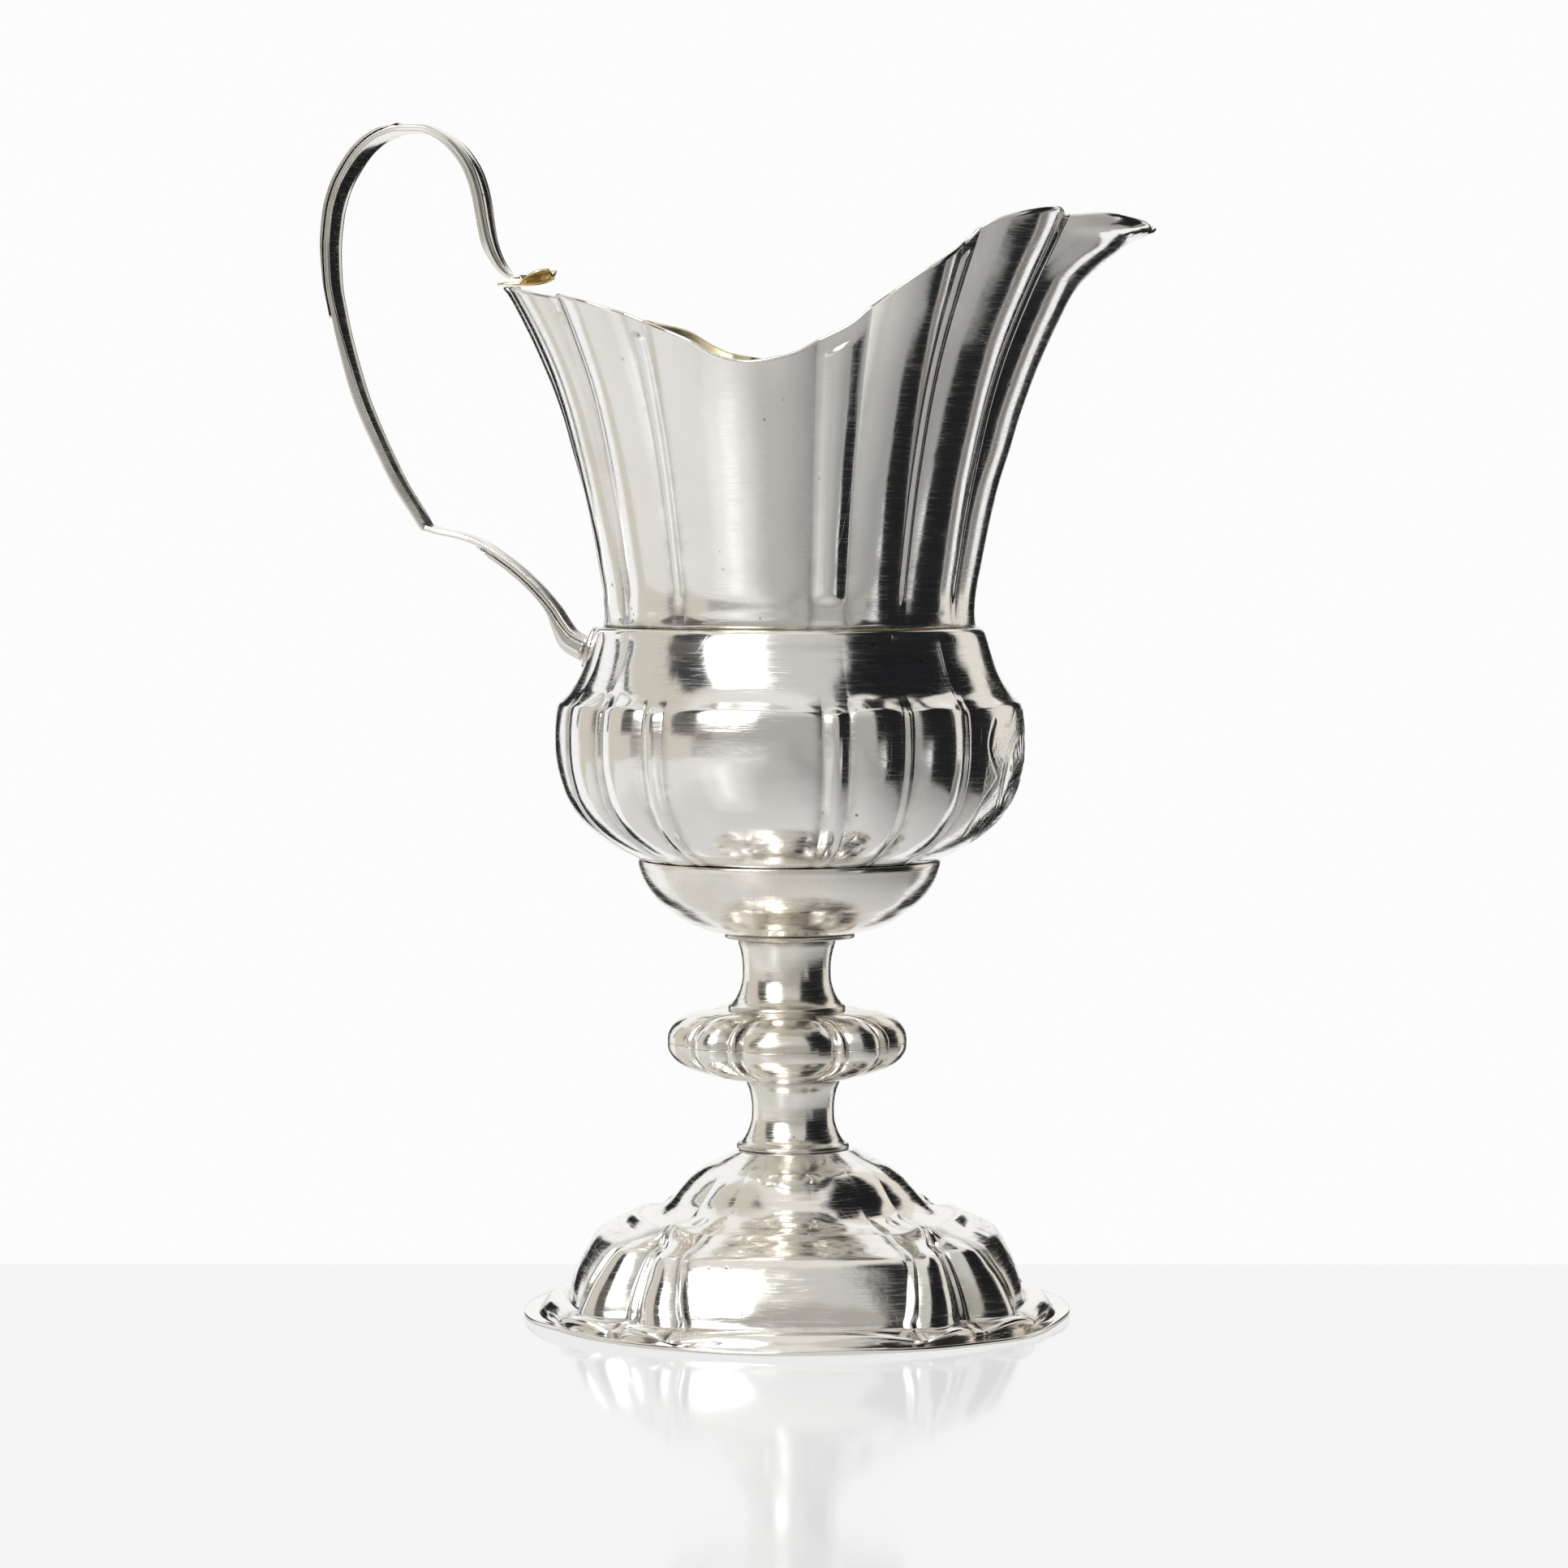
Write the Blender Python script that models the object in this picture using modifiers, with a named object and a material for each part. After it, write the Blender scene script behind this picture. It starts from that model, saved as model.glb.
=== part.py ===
"""Helmet-shaped silver pitcher, parcel gilt inside, on a stacked stem with a lobed knop and foot.

Sizes are in millimetres in the tables and turned into metres where a mesh is made. The spout points
to +X, the handle to -X, and the foot rests on z = 0. Angles round the vessel start at -Y and turn
towards the spout at 90 degrees.
"""

import math

import bmesh
import bpy

MM = 0.001
GAP = 0.3  # clearance left for solder or contact between neighbours

# The overall box is centred on the origin, so the vessel's axis stands a little towards the spout.
VESSEL_AXIS_X = 14.15
# Foot and knop were fitted with their wide lobes turned from the vessel's side by this much.
STEM_TURN = 12.0
# The stack was lined up by eye, so its pieces stand off the vessel's axis towards the spout by this.
OUT_OF_LINE = {
    "upper_spool": -0.7, "knop_upper_half": -0.6, "knop_lower_half": -0.6, "lower_spool": 0.8, "foot": 1.8,
    "foot_washer": 0.2,
}

SHEET = 0.9  # upper body
BOWL_SHEET = 1.0
FOOT_SHEET = 1.0
KNOP_SHEET = 1.0
SPOOL_WALL = 1.3

# Plain metal colours and how rough each one looks.
BODY_SILVER = ((0.80, 0.79, 0.76), 0.16)
STEM_SILVER = ((0.79, 0.78, 0.75), 0.15)
FOOT_SILVER = ((0.80, 0.78, 0.74), 0.17)
HANDLE_SILVER = ((0.74, 0.73, 0.70), 0.22)
GILT = ((0.83, 0.66, 0.33), 0.20)
IRON = ((0.62, 0.60, 0.57), 0.42)

# ---------------------------------------------------------------- lobe plans, degrees
UPPER_RIBS = (24.0, 48.5, 73.0)
BELLY_RIBS = (23.3, 42.3, 61.1)
FOOT_RIBS = (27.0, 45.0, 63.0)
KNOP_CREASES = (23.0, 32.0, 58.0, 67.0)
STEP_DEGREES = 8.5  # widest facet of a ribbed lobe
PLAIN_STEP_DEGREES = 11.0  # widest facet of the knop

# ---------------------------------------------------------------- upper body
UPPER_FOOT_Z = 161.2
UPPER_CREST = (
    (161.2, 43.4), (166.9, 43.6), (174.4, 44.7), (185.8, 46.9), (193.4, 48.6), (200.9, 50.8),
    (208.5, 53.0), (216.1, 55.7), (223.6, 58.8), (231.2, 62.4), (238.8, 66.8), (242.5, 70.5),
    (246.3, 75.3), (250.0, 79.8), (251.4, 84.6),
)
UPPER_CREASE = (
    (161.2, 43.4), (166.9, 42.9), (178.0, 44.4), (193.0, 47.3), (208.0, 51.0), (220.0, 54.8),
    (229.0, 58.6), (236.0, 61.0), (239.0, 62.4), (247.0, 67.0), (252.0, 69.4),
)
# How far the side lobes stand out of their creases.
UPPER_SIDE_LOBE = ((161.2, 0.0), (166.9, 0.9), (193.0, 1.4), (220.0, 2.3), (239.0, 3.6), (252.0, 4.2))
# Height of the rim round the mouth, from the handle over one side to the spout's tip.
RIM = (
    (-90.0, 239.9), (-84.5, 239.7), (-60.0, 238.2), (-45.5, 236.0), (-31.0, 233.2), (-22.0, 229.6),
    (-10.5, 225.2), (-4.0, 221.6), (2.5, 220.4), (11.0, 221.6), (19.0, 225.2), (25.5, 228.8),
    (30.5, 234.0), (36.5, 239.2), (44.5, 244.8), (48.0, 247.4), (50.5, 251.0), (52.5, 252.3),
    (57.5, 254.2), (64.0, 254.9), (73.0, 254.5), (77.5, 254.8), (80.5, 253.8), (87.0, 252.2),
    (90.0, 251.4),
)
UPPER_LEVELS = (0.06, 0.22, 0.42, 0.6, 0.76, 0.87, 0.95, 1.0)  # shares of the height from seam to rim
RIB_HALF_WIDTH = 1.5
RIB_HEIGHT = 0.7

# ---------------------------------------------------------------- belly bowl
# (height, crest radius, lobe depth, share of the rib's height)
BELLY_ROWS = (
    (160.9, 42.0, 0.0, 0.0), (160.9, 45.3, 0.0, 0.0), (159.3, 45.9, 0.1, 0.0),
    (151.7, 48.1, 0.3, 0.0), (145.0, 51.8, 0.6, 0.0), (143.4, 53.9, 1.1, 0.6),
    (139.0, 54.7, 1.3, 1.0), (129.0, 54.3, 1.3, 1.0), (121.5, 52.2, 1.2, 1.0),
    (117.4, 49.8, 1.2, 1.0), (111.8, 43.9, 1.0, 0.6), (106.9, 35.2, 0.4, 0.0), (104.5, 30.5, 0.0, 0.0),
    (101.5, 20.0, 0.0, 0.0), (100.6, 8.0, 0.0, 0.0),
)
BELLY_BOTTOM_Z = 100.4

# ---------------------------------------------------------------- calyx and stem, (radius, height)
CUP_PROFILE = (
    (34.9, 105.9), (34.8, 104.2), (34.2, 102.5), (32.0, 98.8), (27.8, 95.0), (22.1, 91.2),
    (15.0, 89.6), (6.0, 89.6),
)
CUP_SHEET = 1.0
COLLAR_TOP = 89.3
COLLAR_RADIUS = 15.2
COLLAR_THICK = 0.9
UPPER_SPOOL = (
    (11.4, 88.1), (10.7, 85.6), (10.3, 81.8), (10.4, 78.5), (11.2, 75.6), (12.7, 73.2),
    (13.5, 72.3), (13.5, 71.3),
)
# (height, crest radius, lobe depth)
KNOP_UPPER_ROWS = (
    (71.0, 5.0, 0.0), (71.0, 13.8, 0.0), (70.5, 20.0, 0.9), (68.5, 25.6, 1.9), (66.2, 27.3, 2.2),
    (64.7, 27.8, 2.2), (64.1, 27.8, 2.2),
)
KNOP_LOWER_ROWS = (
    (63.7, 27.8, 2.2), (63.1, 27.8, 2.2), (60.9, 26.4, 2.1), (58.2, 22.8, 1.5), (56.3, 17.5, 0.7),
    (55.6, 12.6, 0.0), (55.6, 5.0, 0.0),
)
LOWER_SPOOL = (
    (11.0, 55.3), (10.2, 53.0), (9.6, 49.6), (9.7, 45.8), (11.1, 42.2), (12.9, 40.2), (12.9, 39.2),
)

# ---------------------------------------------------------------- foot
# (height, crest radius, lobe depth, share of the rib's height, share of the fan)
FOOT_ROWS = (
    (38.9, 5.6, 0.0, 0.0, 1.0), (38.9, 11.2, 0.0, 0.0, 1.0), (36.6, 17.2, 0.3, 0.0, 1.0),
    (32.2, 25.2, 0.9, 0.0, 1.0), (26.9, 30.4, 1.3, 0.0, 1.0), (23.6, 34.6, 1.6, 0.0, 1.0),
    (22.4, 38.6, 1.8, 0.2, 1.0), (19.3, 44.9, 2.0, 1.0, 0.75), (12.5, 50.8, 2.0, 1.0, 0.35),
    (5.2, 53.2, 1.6, 0.6, 0.0), (2.6, 57.0, 0.8, 0.0, 0.0), (1.1, 60.4, 0.0, 0.0, 0.0),
    (1.0, 61.4, 0.0, 0.0, 0.0), (1.0, 64.4, 0.0, 0.0, 0.0),
)
# The narrow lobes draw together upwards: where each line of the skirt stands at the ledge, in degrees.
FOOT_FAN = ((0.0, 0.0), (27.0, 34.0), (45.0, 45.0), (63.0, 56.0), (90.0, 90.0))

# ---------------------------------------------------------------- tie rod
ROD_RADIUS = 3.2
ROD_BOTTOM_Z = 28.6
ROD_CHAMFER = 0.8
WASHER_RADIUS = 10.0
WASHER_THICK = 1.4
NUT_RADIUS = 7.2
NUT_HEIGHT = 5.0

# ---------------------------------------------------------------- handle
# Centre line of the strap: (x from the axis, z, width across, thickness).
STRAP_PATH = (
    (-63.4, 242.6, 6.6, 1.2), (-66.0, 242.7, 7.0, 1.2), (-68.2, 244.1, 8.0, 1.4),
    (-70.2, 247.2, 9.0, 1.5), (-71.6, 251.0, 10.0, 1.6), (-72.6, 256.0, 11.0, 1.6),
    (-73.6, 262.0, 12.0, 1.6), (-75.2, 267.2, 12.4, 1.6), (-78.3, 272.1, 12.6, 1.6),
    (-82.6, 275.9, 12.8, 1.5), (-87.6, 277.9, 13.0, 1.4), (-92.8, 278.0, 13.0, 1.3),
    (-97.6, 276.6, 13.0, 1.2), (-102.0, 273.6, 13.0, 1.2), (-105.6, 269.2, 13.0, 1.2),
    (-108.5, 263.8, 12.8, 1.2), (-110.2, 257.6, 12.6, 1.2), (-110.9, 250.0, 12.4, 1.2),
    (-110.6, 242.0, 12.0, 1.2), (-109.2, 233.6, 11.4, 1.3), (-107.2, 225.2, 10.6, 1.6),
    (-104.7, 216.7, 10.2, 1.8), (-101.6, 208.8, 10.0, 1.8), (-98.0, 201.2, 9.8, 1.7),
    (-94.0, 193.6, 9.6, 1.7), (-89.2, 186.2, 9.4, 1.6), (-87.82, 184.07, 9.4, 1.5),
)
STRIP_FIRST = 11  # stations of the strap that the outer strip starts and ends on
STRIP_LAST = 19
STRIP_THICK = 1.1
LOWER_STRAP_PATH = (
    (-87.57, 183.91, 9.4, 1.5), (-84.0, 182.9, 9.2, 1.4), (-79.0, 181.9, 9.0, 1.3),
    (-74.2, 180.1, 8.8, 1.2), (-69.4, 177.0, 8.8, 1.1), (-64.2, 173.1, 8.6, 1.1),
    (-59.9, 169.1, 8.4, 1.1), (-56.1, 164.7, 8.2, 1.1), (-53.8, 161.2, 8.0, 1.1),
    (-52.1, 159.1, 7.8, 1.1), (-48.3, 157.1, 7.6, 1.2),
)
LOWER_STRIP_FIRST = 3
LOWER_STRIP_THICK = 1.0
LOWER_STRIP_END_THICK = 3.0  # the strip thickens into a foot where it meets the shoulder
STRIP_WIDTH_SHARE = 0.94
MITRE_NORMAL = (0.847, -0.530)
SHOULDER_NORMAL = (0.957, -0.290)
# Section of a strap as shares of its width and thickness: a flat back and three reeds outside.
REEDED_SECTION = (
    (-0.5, -0.5), (0.5, -0.5), (0.5, 0.1), (0.42, 0.45), (0.28, 0.1), (0.13, 0.4), (0.0, 0.5),
    (-0.13, 0.4), (-0.28, 0.1), (-0.42, 0.45), (-0.5, 0.1),
)
PLAIN_SECTION = ((-0.5, -0.5), (0.5, -0.5), (0.5, 0.2), (0.3, 0.5), (-0.3, 0.5), (-0.5, 0.2))
# Tongue over the rim: (x, z of its underside, half width, rise of its sides).
TONGUE_STATIONS = (
    (-69.6, 240.8, 3.0, 0.0), (-66.5, 240.8, 3.6, 0.0), (-63.6, 240.8, 4.0, 0.1),
    (-62.4, 240.8, 4.4, 1.6), (-60.0, 241.0, 4.6, 2.6), (-57.6, 241.6, 4.4, 2.4),
    (-56.6, 242.2, 3.8, 1.8),
)
TONGUE_THICK = 0.8
TONGUE_TROUGH = ((-1.0, 1.0), (-0.6, 0.25), (0.0, 0.0), (0.6, 0.25), (1.0, 1.0))  # shares of width, rise
TONGUE_TOP_SHARE = 0.86  # the upper edges lean in to this share of the half width
# Plate on the shoulder: (x of its outer face, z, half width).
PLATE_STATIONS = (
    (-46.9, 160.7, 2.2), (-47.5, 159.0, 3.4), (-48.2, 156.0, 4.2), (-49.0, 153.4, 4.0),
    (-49.8, 151.4, 2.4),
)
PLATE_THICK = 0.9
PLATE_LEAN = 0.2  # the plate's inner face stands this much lower


# ---------------------------------------------------------------- helpers
def between(table, x):
    """Value of a table of (x, value) at x, straight between its entries."""
    if x <= table[0][0]:
        return table[0][1]
    for (x0, v0), (x1, v1) in zip(table, table[1:]):
        if x <= x1:
            return v0 + (v1 - v0) * (x - x0) / (x1 - x0)
    return table[-1][1]


def make_material(name, colour, roughness, metallic):
    """Principled material in one plain colour."""
    material = bpy.data.materials.new(name)
    material.use_nodes = True
    shader = material.node_tree.nodes["Principled BSDF"]
    shader.inputs["Base Color"].default_value = (*colour, 1.0)
    shader.inputs["Roughness"].default_value = roughness
    shader.inputs["Metallic"].default_value = metallic
    material.diffuse_color = (*colour, 1.0)
    return material


def add_object(name, mesh, metal):
    """Named object in the pitcher's collection, moved with the vessel's axis."""
    colour, roughness = metal
    obj = bpy.data.objects.new(name, mesh)
    PITCHER.objects.link(obj)
    obj.location.x = (VESSEL_AXIS_X + OUT_OF_LINE.get(name, 0.0)) * MM
    mesh.materials.append(make_material(name, colour, roughness, 1.0))
    return obj


def mesh_from(name, points, faces):
    """Mesh from points in millimetres."""
    mesh = bpy.data.meshes.new(name)
    mesh.from_pydata([(x * MM, y * MM, z * MM) for x, y, z in points], [], faces)
    mesh.update()
    return mesh


def solidify(obj, thickness):
    """Gives an open surface its wall, inwards from the outer face."""
    modifier = obj.modifiers.new("wall", "SOLIDIFY")
    modifier.thickness = thickness * MM
    modifier.offset = -1.0
    modifier.use_even_offset = True


def quadrant_bounds(quadrant):
    """Boundaries all round a ring whose four quadrants mirror each other."""
    first = list(quadrant)
    second = [180.0 - angle for angle in reversed(quadrant)]
    return first + second + [180.0 + a for a in first] + [180.0 + a for a in second]


def lobe_columns(quadrant, rib_half=0.0):
    """Columns of a lobed ring: (angle, bulge 0 to 1, rib 0 or 1, angle of the lobe's middle)."""
    bounds = quadrant_bounds(quadrant)
    columns = []
    for index, start in enumerate(bounds):
        end = bounds[(index + 1) % len(bounds)]
        if end < start:
            end += 360.0
        middle = (start + end) / 2
        if rib_half:
            columns.append((start, 0.0, 1.0, middle))
        inner_start = start + rib_half
        width = end - start - 2 * rib_half
        steps = max(2, math.ceil(width / (STEP_DEGREES if rib_half else PLAIN_STEP_DEGREES)))
        last = steps if rib_half else steps - 1
        for step in range(last + 1):
            share = step / steps
            bulge = 1.0 - (2.0 * share - 1.0) ** 2
            columns.append((inner_start + width * share, bulge, 0.0, middle))
    return columns


def ring_faces(rows, count, pole=None):
    """Quads between closed rings laid top to bottom, with a fan to a pole under the last one."""
    faces = []
    for row in range(rows - 1):
        for i in range(count):
            j = (i + 1) % count
            upper, lower = row * count, (row + 1) * count
            faces.append((upper + i, lower + i, lower + j, upper + j))
    if pole is not None:
        base = (rows - 1) * count
        for i in range(count):
            faces.append((base + i, pole, base + (i + 1) % count))
    return faces


def at_angle(radius, angle, z):
    """Point at an angle from -Y towards +X."""
    turn = math.radians(angle)
    return (radius * math.sin(turn), -radius * math.cos(turn), z)


def fanned(angle, share):
    """Angle moved by a share of the foot's fan, alike in every quadrant."""
    quadrant, local = divmod(angle, 90.0)
    return quadrant * 90.0 + local + share * (between(FOOT_FAN, local) - local)


def lobed_surface(name, rows, columns, turn=0.0, pole_z=None):
    """Open lobed surface, a loft through unlike rings, closed underneath when it has a pole."""
    points = []
    for z, crest, depth, rib_share, fan in rows:
        for angle, bulge, rib, _ in columns:
            radius = crest - depth * (1.0 - bulge) + RIB_HEIGHT * rib_share * rib
            points.append(at_angle(radius, fanned(angle, fan) + turn, z))
    pole = None
    if pole_z is not None:
        pole = len(points)
        points.append((0.0, 0.0, pole_z))
    faces = ring_faces(len(rows), len(columns), pole)
    return mesh_from(name, points, faces)


def turned(name, profile, metal, steps, wall=0.0, ring=True):
    """Piece turned from a profile of (radius, height): a ring is closed back to its first point."""
    points = [(radius, 0.0, z) for radius, z in profile]
    edges = [(i, i + 1) for i in range(len(points) - 1)]
    if ring:
        edges.append((len(points) - 1, 0))
    mesh = bpy.data.meshes.new(name)
    mesh.from_pydata([(x * MM, y, z * MM) for x, y, z in points], edges, [])
    obj = add_object(name, mesh, metal)
    screw = obj.modifiers.new("turn", "SCREW")
    screw.axis = "Z"
    screw.angle = math.tau
    screw.steps = steps
    screw.render_steps = steps
    screw.use_merge_vertices = True
    screw.merge_threshold = 0.00005
    screw.use_smooth_shade = False
    if wall:
        solidify(obj, wall)
    return obj


def tube_profile(outer, wall):
    """Closed profile of a tube: down its outer side, then up a bore of one wall less."""
    inner = [(radius - wall, z) for radius, z in reversed(outer[:-2])]
    top_z, bottom_z = outer[0][1], outer[-1][1]
    bore = [(inner[0][0], bottom_z)] + inner[:-1] + [(inner[-1][0], top_z)]
    return list(outer) + bore


def washer_profile(radius, hole, top, bottom):
    """Closed profile of a flat ring."""
    return [(radius, top), (radius, bottom), (hole, bottom), (hole, top)]


def swept(name, stations, section, first_normal=None, last_normal=None):
    """Loft of a strap's section along a line in the XZ plane.

    A station is (x, z, width, thickness). The section's first share runs across, along Y, and its
    second stands off the line to the left of its travel. An end may be cut to a given normal.
    """
    points = []
    count = len(section)
    for i, (x, z, width, thick) in enumerate(stations):
        x0, z0 = stations[max(i - 1, 0)][:2]
        x1, z1 = stations[min(i + 1, len(stations) - 1)][:2]
        length = math.hypot(x1 - x0, z1 - z0)
        tx, tz = (x1 - x0) / length, (z1 - z0) / length
        cut = first_normal if i == 0 else last_normal if i == len(stations) - 1 else None
        stretch = 1.0
        if cut:
            stretch = 1.0 / (tx * cut[0] + tz * cut[1])
            tx, tz = cut
        for across, off in section:
            lift = off * thick * stretch
            points.append((x - tz * lift, across * width, z + tx * lift))
    faces = ring_faces(len(stations), count)
    faces.append(tuple(reversed(range(count))))
    last = (len(stations) - 1) * count
    faces.append(tuple(last + k for k in range(count)))
    return mesh_from(name, points, faces)


def facing_out(mesh):
    """Turns every face of a closed mesh outwards."""
    work = bmesh.new()
    work.from_mesh(mesh)
    bmesh.ops.recalc_face_normals(work, faces=work.faces)
    work.to_mesh(mesh)
    work.free()
    return mesh


# ---------------------------------------------------------------- vessel
def rim_height(angle):
    """Height of the rim, the same on both sides of the spout."""
    folded = (angle + 90.0) % 360.0 - 90.0
    if folded > 90.0:
        folded = 180.0 - folded
    return between(RIM, folded)


def upper_radius(z, bulge, middle):
    """Radius of the upper body: the lobes under spout and handle swell to the silhouette."""
    crease = between(UPPER_CREASE, z)
    if abs(middle % 180.0 - 90.0) < 1.0:
        return crease + bulge * (between(UPPER_CREST, z) - crease)
    return crease + bulge * between(UPPER_SIDE_LOBE, z)


def build_upper_body():
    """Flaring helmet with twelve lobes, ribs between them, and the spout drawn up and out."""
    half = math.degrees(RIB_HALF_WIDTH / between(UPPER_CREASE, 200.0))
    columns = lobe_columns(UPPER_RIBS, half)
    points = []
    for level in reversed(UPPER_LEVELS):
        for angle, bulge, rib, middle in columns:
            z = UPPER_FOOT_Z + level * (rim_height(angle) - UPPER_FOOT_Z)
            radius = upper_radius(z, bulge, middle) + RIB_HEIGHT * rib
            points.append(at_angle(radius, angle, z))
    for angle, _, _, _ in columns:
        points.append(at_angle(UPPER_CREST[0][1], angle, UPPER_FOOT_Z))
    faces = ring_faces(len(UPPER_LEVELS) + 1, len(columns))
    obj = add_object("upper_body", mesh_from("upper_body", points, faces), BODY_SILVER)
    solidify(obj, SHEET)


def build_belly_bowl():
    """Shoulder and lobed belly raised as one closed bowl, with a ledge the upper body stands on."""
    half = math.degrees(RIB_HALF_WIDTH / 54.0)
    columns = lobe_columns(BELLY_RIBS, half)
    rows = [row + (0.0,) for row in BELLY_ROWS]
    mesh = lobed_surface("belly_bowl", rows, columns, pole_z=BELLY_BOTTOM_Z)
    obj = add_object("belly_bowl", mesh, BODY_SILVER)
    solidify(obj, BOWL_SHEET)


def build_stem():
    """Calyx, collar, spools and knop, stacked on the tie rod."""
    cup = list(CUP_PROFILE) + [(0.0, CUP_PROFILE[-1][1])]
    turned("base_cup", cup, STEM_SILVER, 40, CUP_SHEET, ring=False)
    collar_bottom = COLLAR_TOP - COLLAR_THICK
    hole = ROD_RADIUS + GAP
    turned("stem_collar", washer_profile(COLLAR_RADIUS, hole, COLLAR_TOP, collar_bottom), STEM_SILVER, 40)
    turned("upper_spool", tube_profile(UPPER_SPOOL, SPOOL_WALL), STEM_SILVER, 32)
    turned("lower_spool", tube_profile(LOWER_SPOOL, SPOOL_WALL), STEM_SILVER, 32)
    columns = lobe_columns(KNOP_CREASES)
    for name, rows in (("knop_upper_half", KNOP_UPPER_ROWS), ("knop_lower_half", KNOP_LOWER_ROWS)):
        full_rows = [row + (0.0, 0.0) for row in rows]
        mesh = lobed_surface(name, full_rows, columns, STEM_TURN)
        solidify(add_object(name, mesh, STEM_SILVER), KNOP_SHEET)


def build_foot():
    """Two-stage lobed dome with a broad thin flange that rests flat."""
    half = math.degrees(RIB_HALF_WIDTH / 50.0)
    columns = lobe_columns(FOOT_RIBS, half)
    mesh = lobed_surface("foot", FOOT_ROWS, columns, STEM_TURN)
    solidify(add_object("foot", mesh, FOOT_SILVER), FOOT_SHEET)


def build_fastening():
    """Rod soldered under the calyx, with a washer and nut inside the foot's dome."""
    top = CUP_PROFILE[-1][1] - GAP
    rod = [
        (0.0, top), (ROD_RADIUS, top), (ROD_RADIUS, ROD_BOTTOM_Z + ROD_CHAMFER),
        (ROD_RADIUS - ROD_CHAMFER, ROD_BOTTOM_Z), (0.0, ROD_BOTTOM_Z),
    ]
    turned("tie_rod", rod, IRON, 24, ring=False)
    hole = ROD_RADIUS + GAP
    washer_top = FOOT_ROWS[0][0] - FOOT_SHEET - GAP
    washer_bottom = washer_top - WASHER_THICK
    washer = washer_profile(WASHER_RADIUS, hole, washer_top, washer_bottom)
    turned("foot_washer", washer, IRON, 32)
    build_nut(washer_bottom - GAP, hole)


def prism(name, sides, radius, depth):
    """Upright prism or cylinder mesh about its own middle."""
    work = bmesh.new()
    bmesh.ops.create_cone(
        work, cap_ends=True, segments=sides, radius1=radius * MM, radius2=radius * MM, depth=depth * MM
    )
    mesh = bpy.data.meshes.new(name)
    work.to_mesh(mesh)
    work.free()
    return mesh


def build_nut(top, hole):
    """Hexagonal nut, bored for the rod."""
    obj = add_object("foot_nut", prism("foot_nut", 6, NUT_RADIUS, NUT_HEIGHT), IRON)
    obj.location.z = (top - NUT_HEIGHT / 2) * MM
    cutter = bpy.data.objects.new("nut_bore", prism("nut_bore", 24, hole, 2 * NUT_HEIGHT))
    CUTTERS.objects.link(cutter)
    cutter.location = obj.location
    cutter.hide_render = True
    cutter.display_type = "WIRE"
    bore = obj.modifiers.new("bore", "BOOLEAN")
    bore.operation = "DIFFERENCE"
    bore.solver = "EXACT"
    bore.object = cutter


# ---------------------------------------------------------------- handle
def offset_stations(stations, first, last, thick, end_thick=None):
    """Stations of a strip laid on the outside of a strap, one gap off it."""
    moved = []
    for i in range(first, last + 1):
        x, z, width, under = stations[i]
        x0, z0 = stations[max(i - 1, 0)][:2]
        x1, z1 = stations[min(i + 1, len(stations) - 1)][:2]
        length = math.hypot(x1 - x0, z1 - z0)
        tx, tz = (x1 - x0) / length, (z1 - z0) / length
        strip = end_thick if end_thick and i == last else thick
        lift = under / 2 + GAP + strip / 2
        moved.append((x + tz * lift, z - tx * lift, width * STRIP_WIDTH_SHARE, strip))
    return moved


def facing_outside(section):
    """Section turned over, so that its shaped side lies outside the loop."""
    return [(across, -off) for across, off in section]


def add_strap(name, stations, section, first_normal=None, last_normal=None):
    """Strap or strip of the handle as one closed piece."""
    mesh = swept(name, stations, facing_outside(section), first_normal, last_normal)
    add_object(name, facing_out(mesh), HANDLE_SILVER)


def build_handle():
    """Reeded strap in a high loop, mitred to a lower scroll, with strips, tongue and plate."""
    add_strap("handle_strap", STRAP_PATH, REEDED_SECTION, last_normal=MITRE_NORMAL)
    strip = offset_stations(STRAP_PATH, STRIP_FIRST, STRIP_LAST, STRIP_THICK)
    add_strap("handle_outer_strip", strip, PLAIN_SECTION)
    add_strap("handle_lower_strap", LOWER_STRAP_PATH, REEDED_SECTION, MITRE_NORMAL, SHOULDER_NORMAL)
    span = (LOWER_STRIP_FIRST, len(LOWER_STRAP_PATH) - 1)
    strip = offset_stations(LOWER_STRAP_PATH, *span, LOWER_STRIP_THICK, LOWER_STRIP_END_THICK)
    add_strap("handle_lower_strip", strip, PLAIN_SECTION, last_normal=SHOULDER_NORMAL)
    build_tongue()
    build_plate()


def closed_loft(name, points, count):
    """Closed mesh through rings of so many points each, capped at both ends."""
    rings = len(points) // count
    faces = ring_faces(rings, count)
    faces.append(tuple(range(count)))
    last = (rings - 1) * count
    faces.append(tuple(last + k for k in range(count)))
    return facing_out(mesh_from(name, points, faces))


def build_tongue():
    """Gilt tongue that sits on the rim and opens into a trough inside the mouth."""
    points = []
    for x, z, half, rise in TONGUE_STATIONS:
        lower = [(x, half * across, z + rise * up) for across, up in TONGUE_TROUGH]
        upper = []
        for across, up in reversed(TONGUE_TROUGH):
            lean = TONGUE_TOP_SHARE if abs(across) == 1.0 else 1.0
            upper.append((x, half * across * lean, z + rise * up + TONGUE_THICK))
        points += lower + upper
    mesh = closed_loft("handle_tongue", points, 2 * len(TONGUE_TROUGH))
    add_object("handle_tongue", mesh, GILT)


def build_plate():
    """Small shaped plate soldered to the shoulder under the lower strap."""
    points = []
    for x, z, half in PLATE_STATIONS:
        inner_x, inner_z = x + PLATE_THICK, z - PLATE_LEAN
        points += [(x, -half, z), (x, half, z), (inner_x, half, inner_z), (inner_x, -half, inner_z)]
    add_object("handle_foot_plate", closed_loft("handle_foot_plate", points, 4), HANDLE_SILVER)


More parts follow.
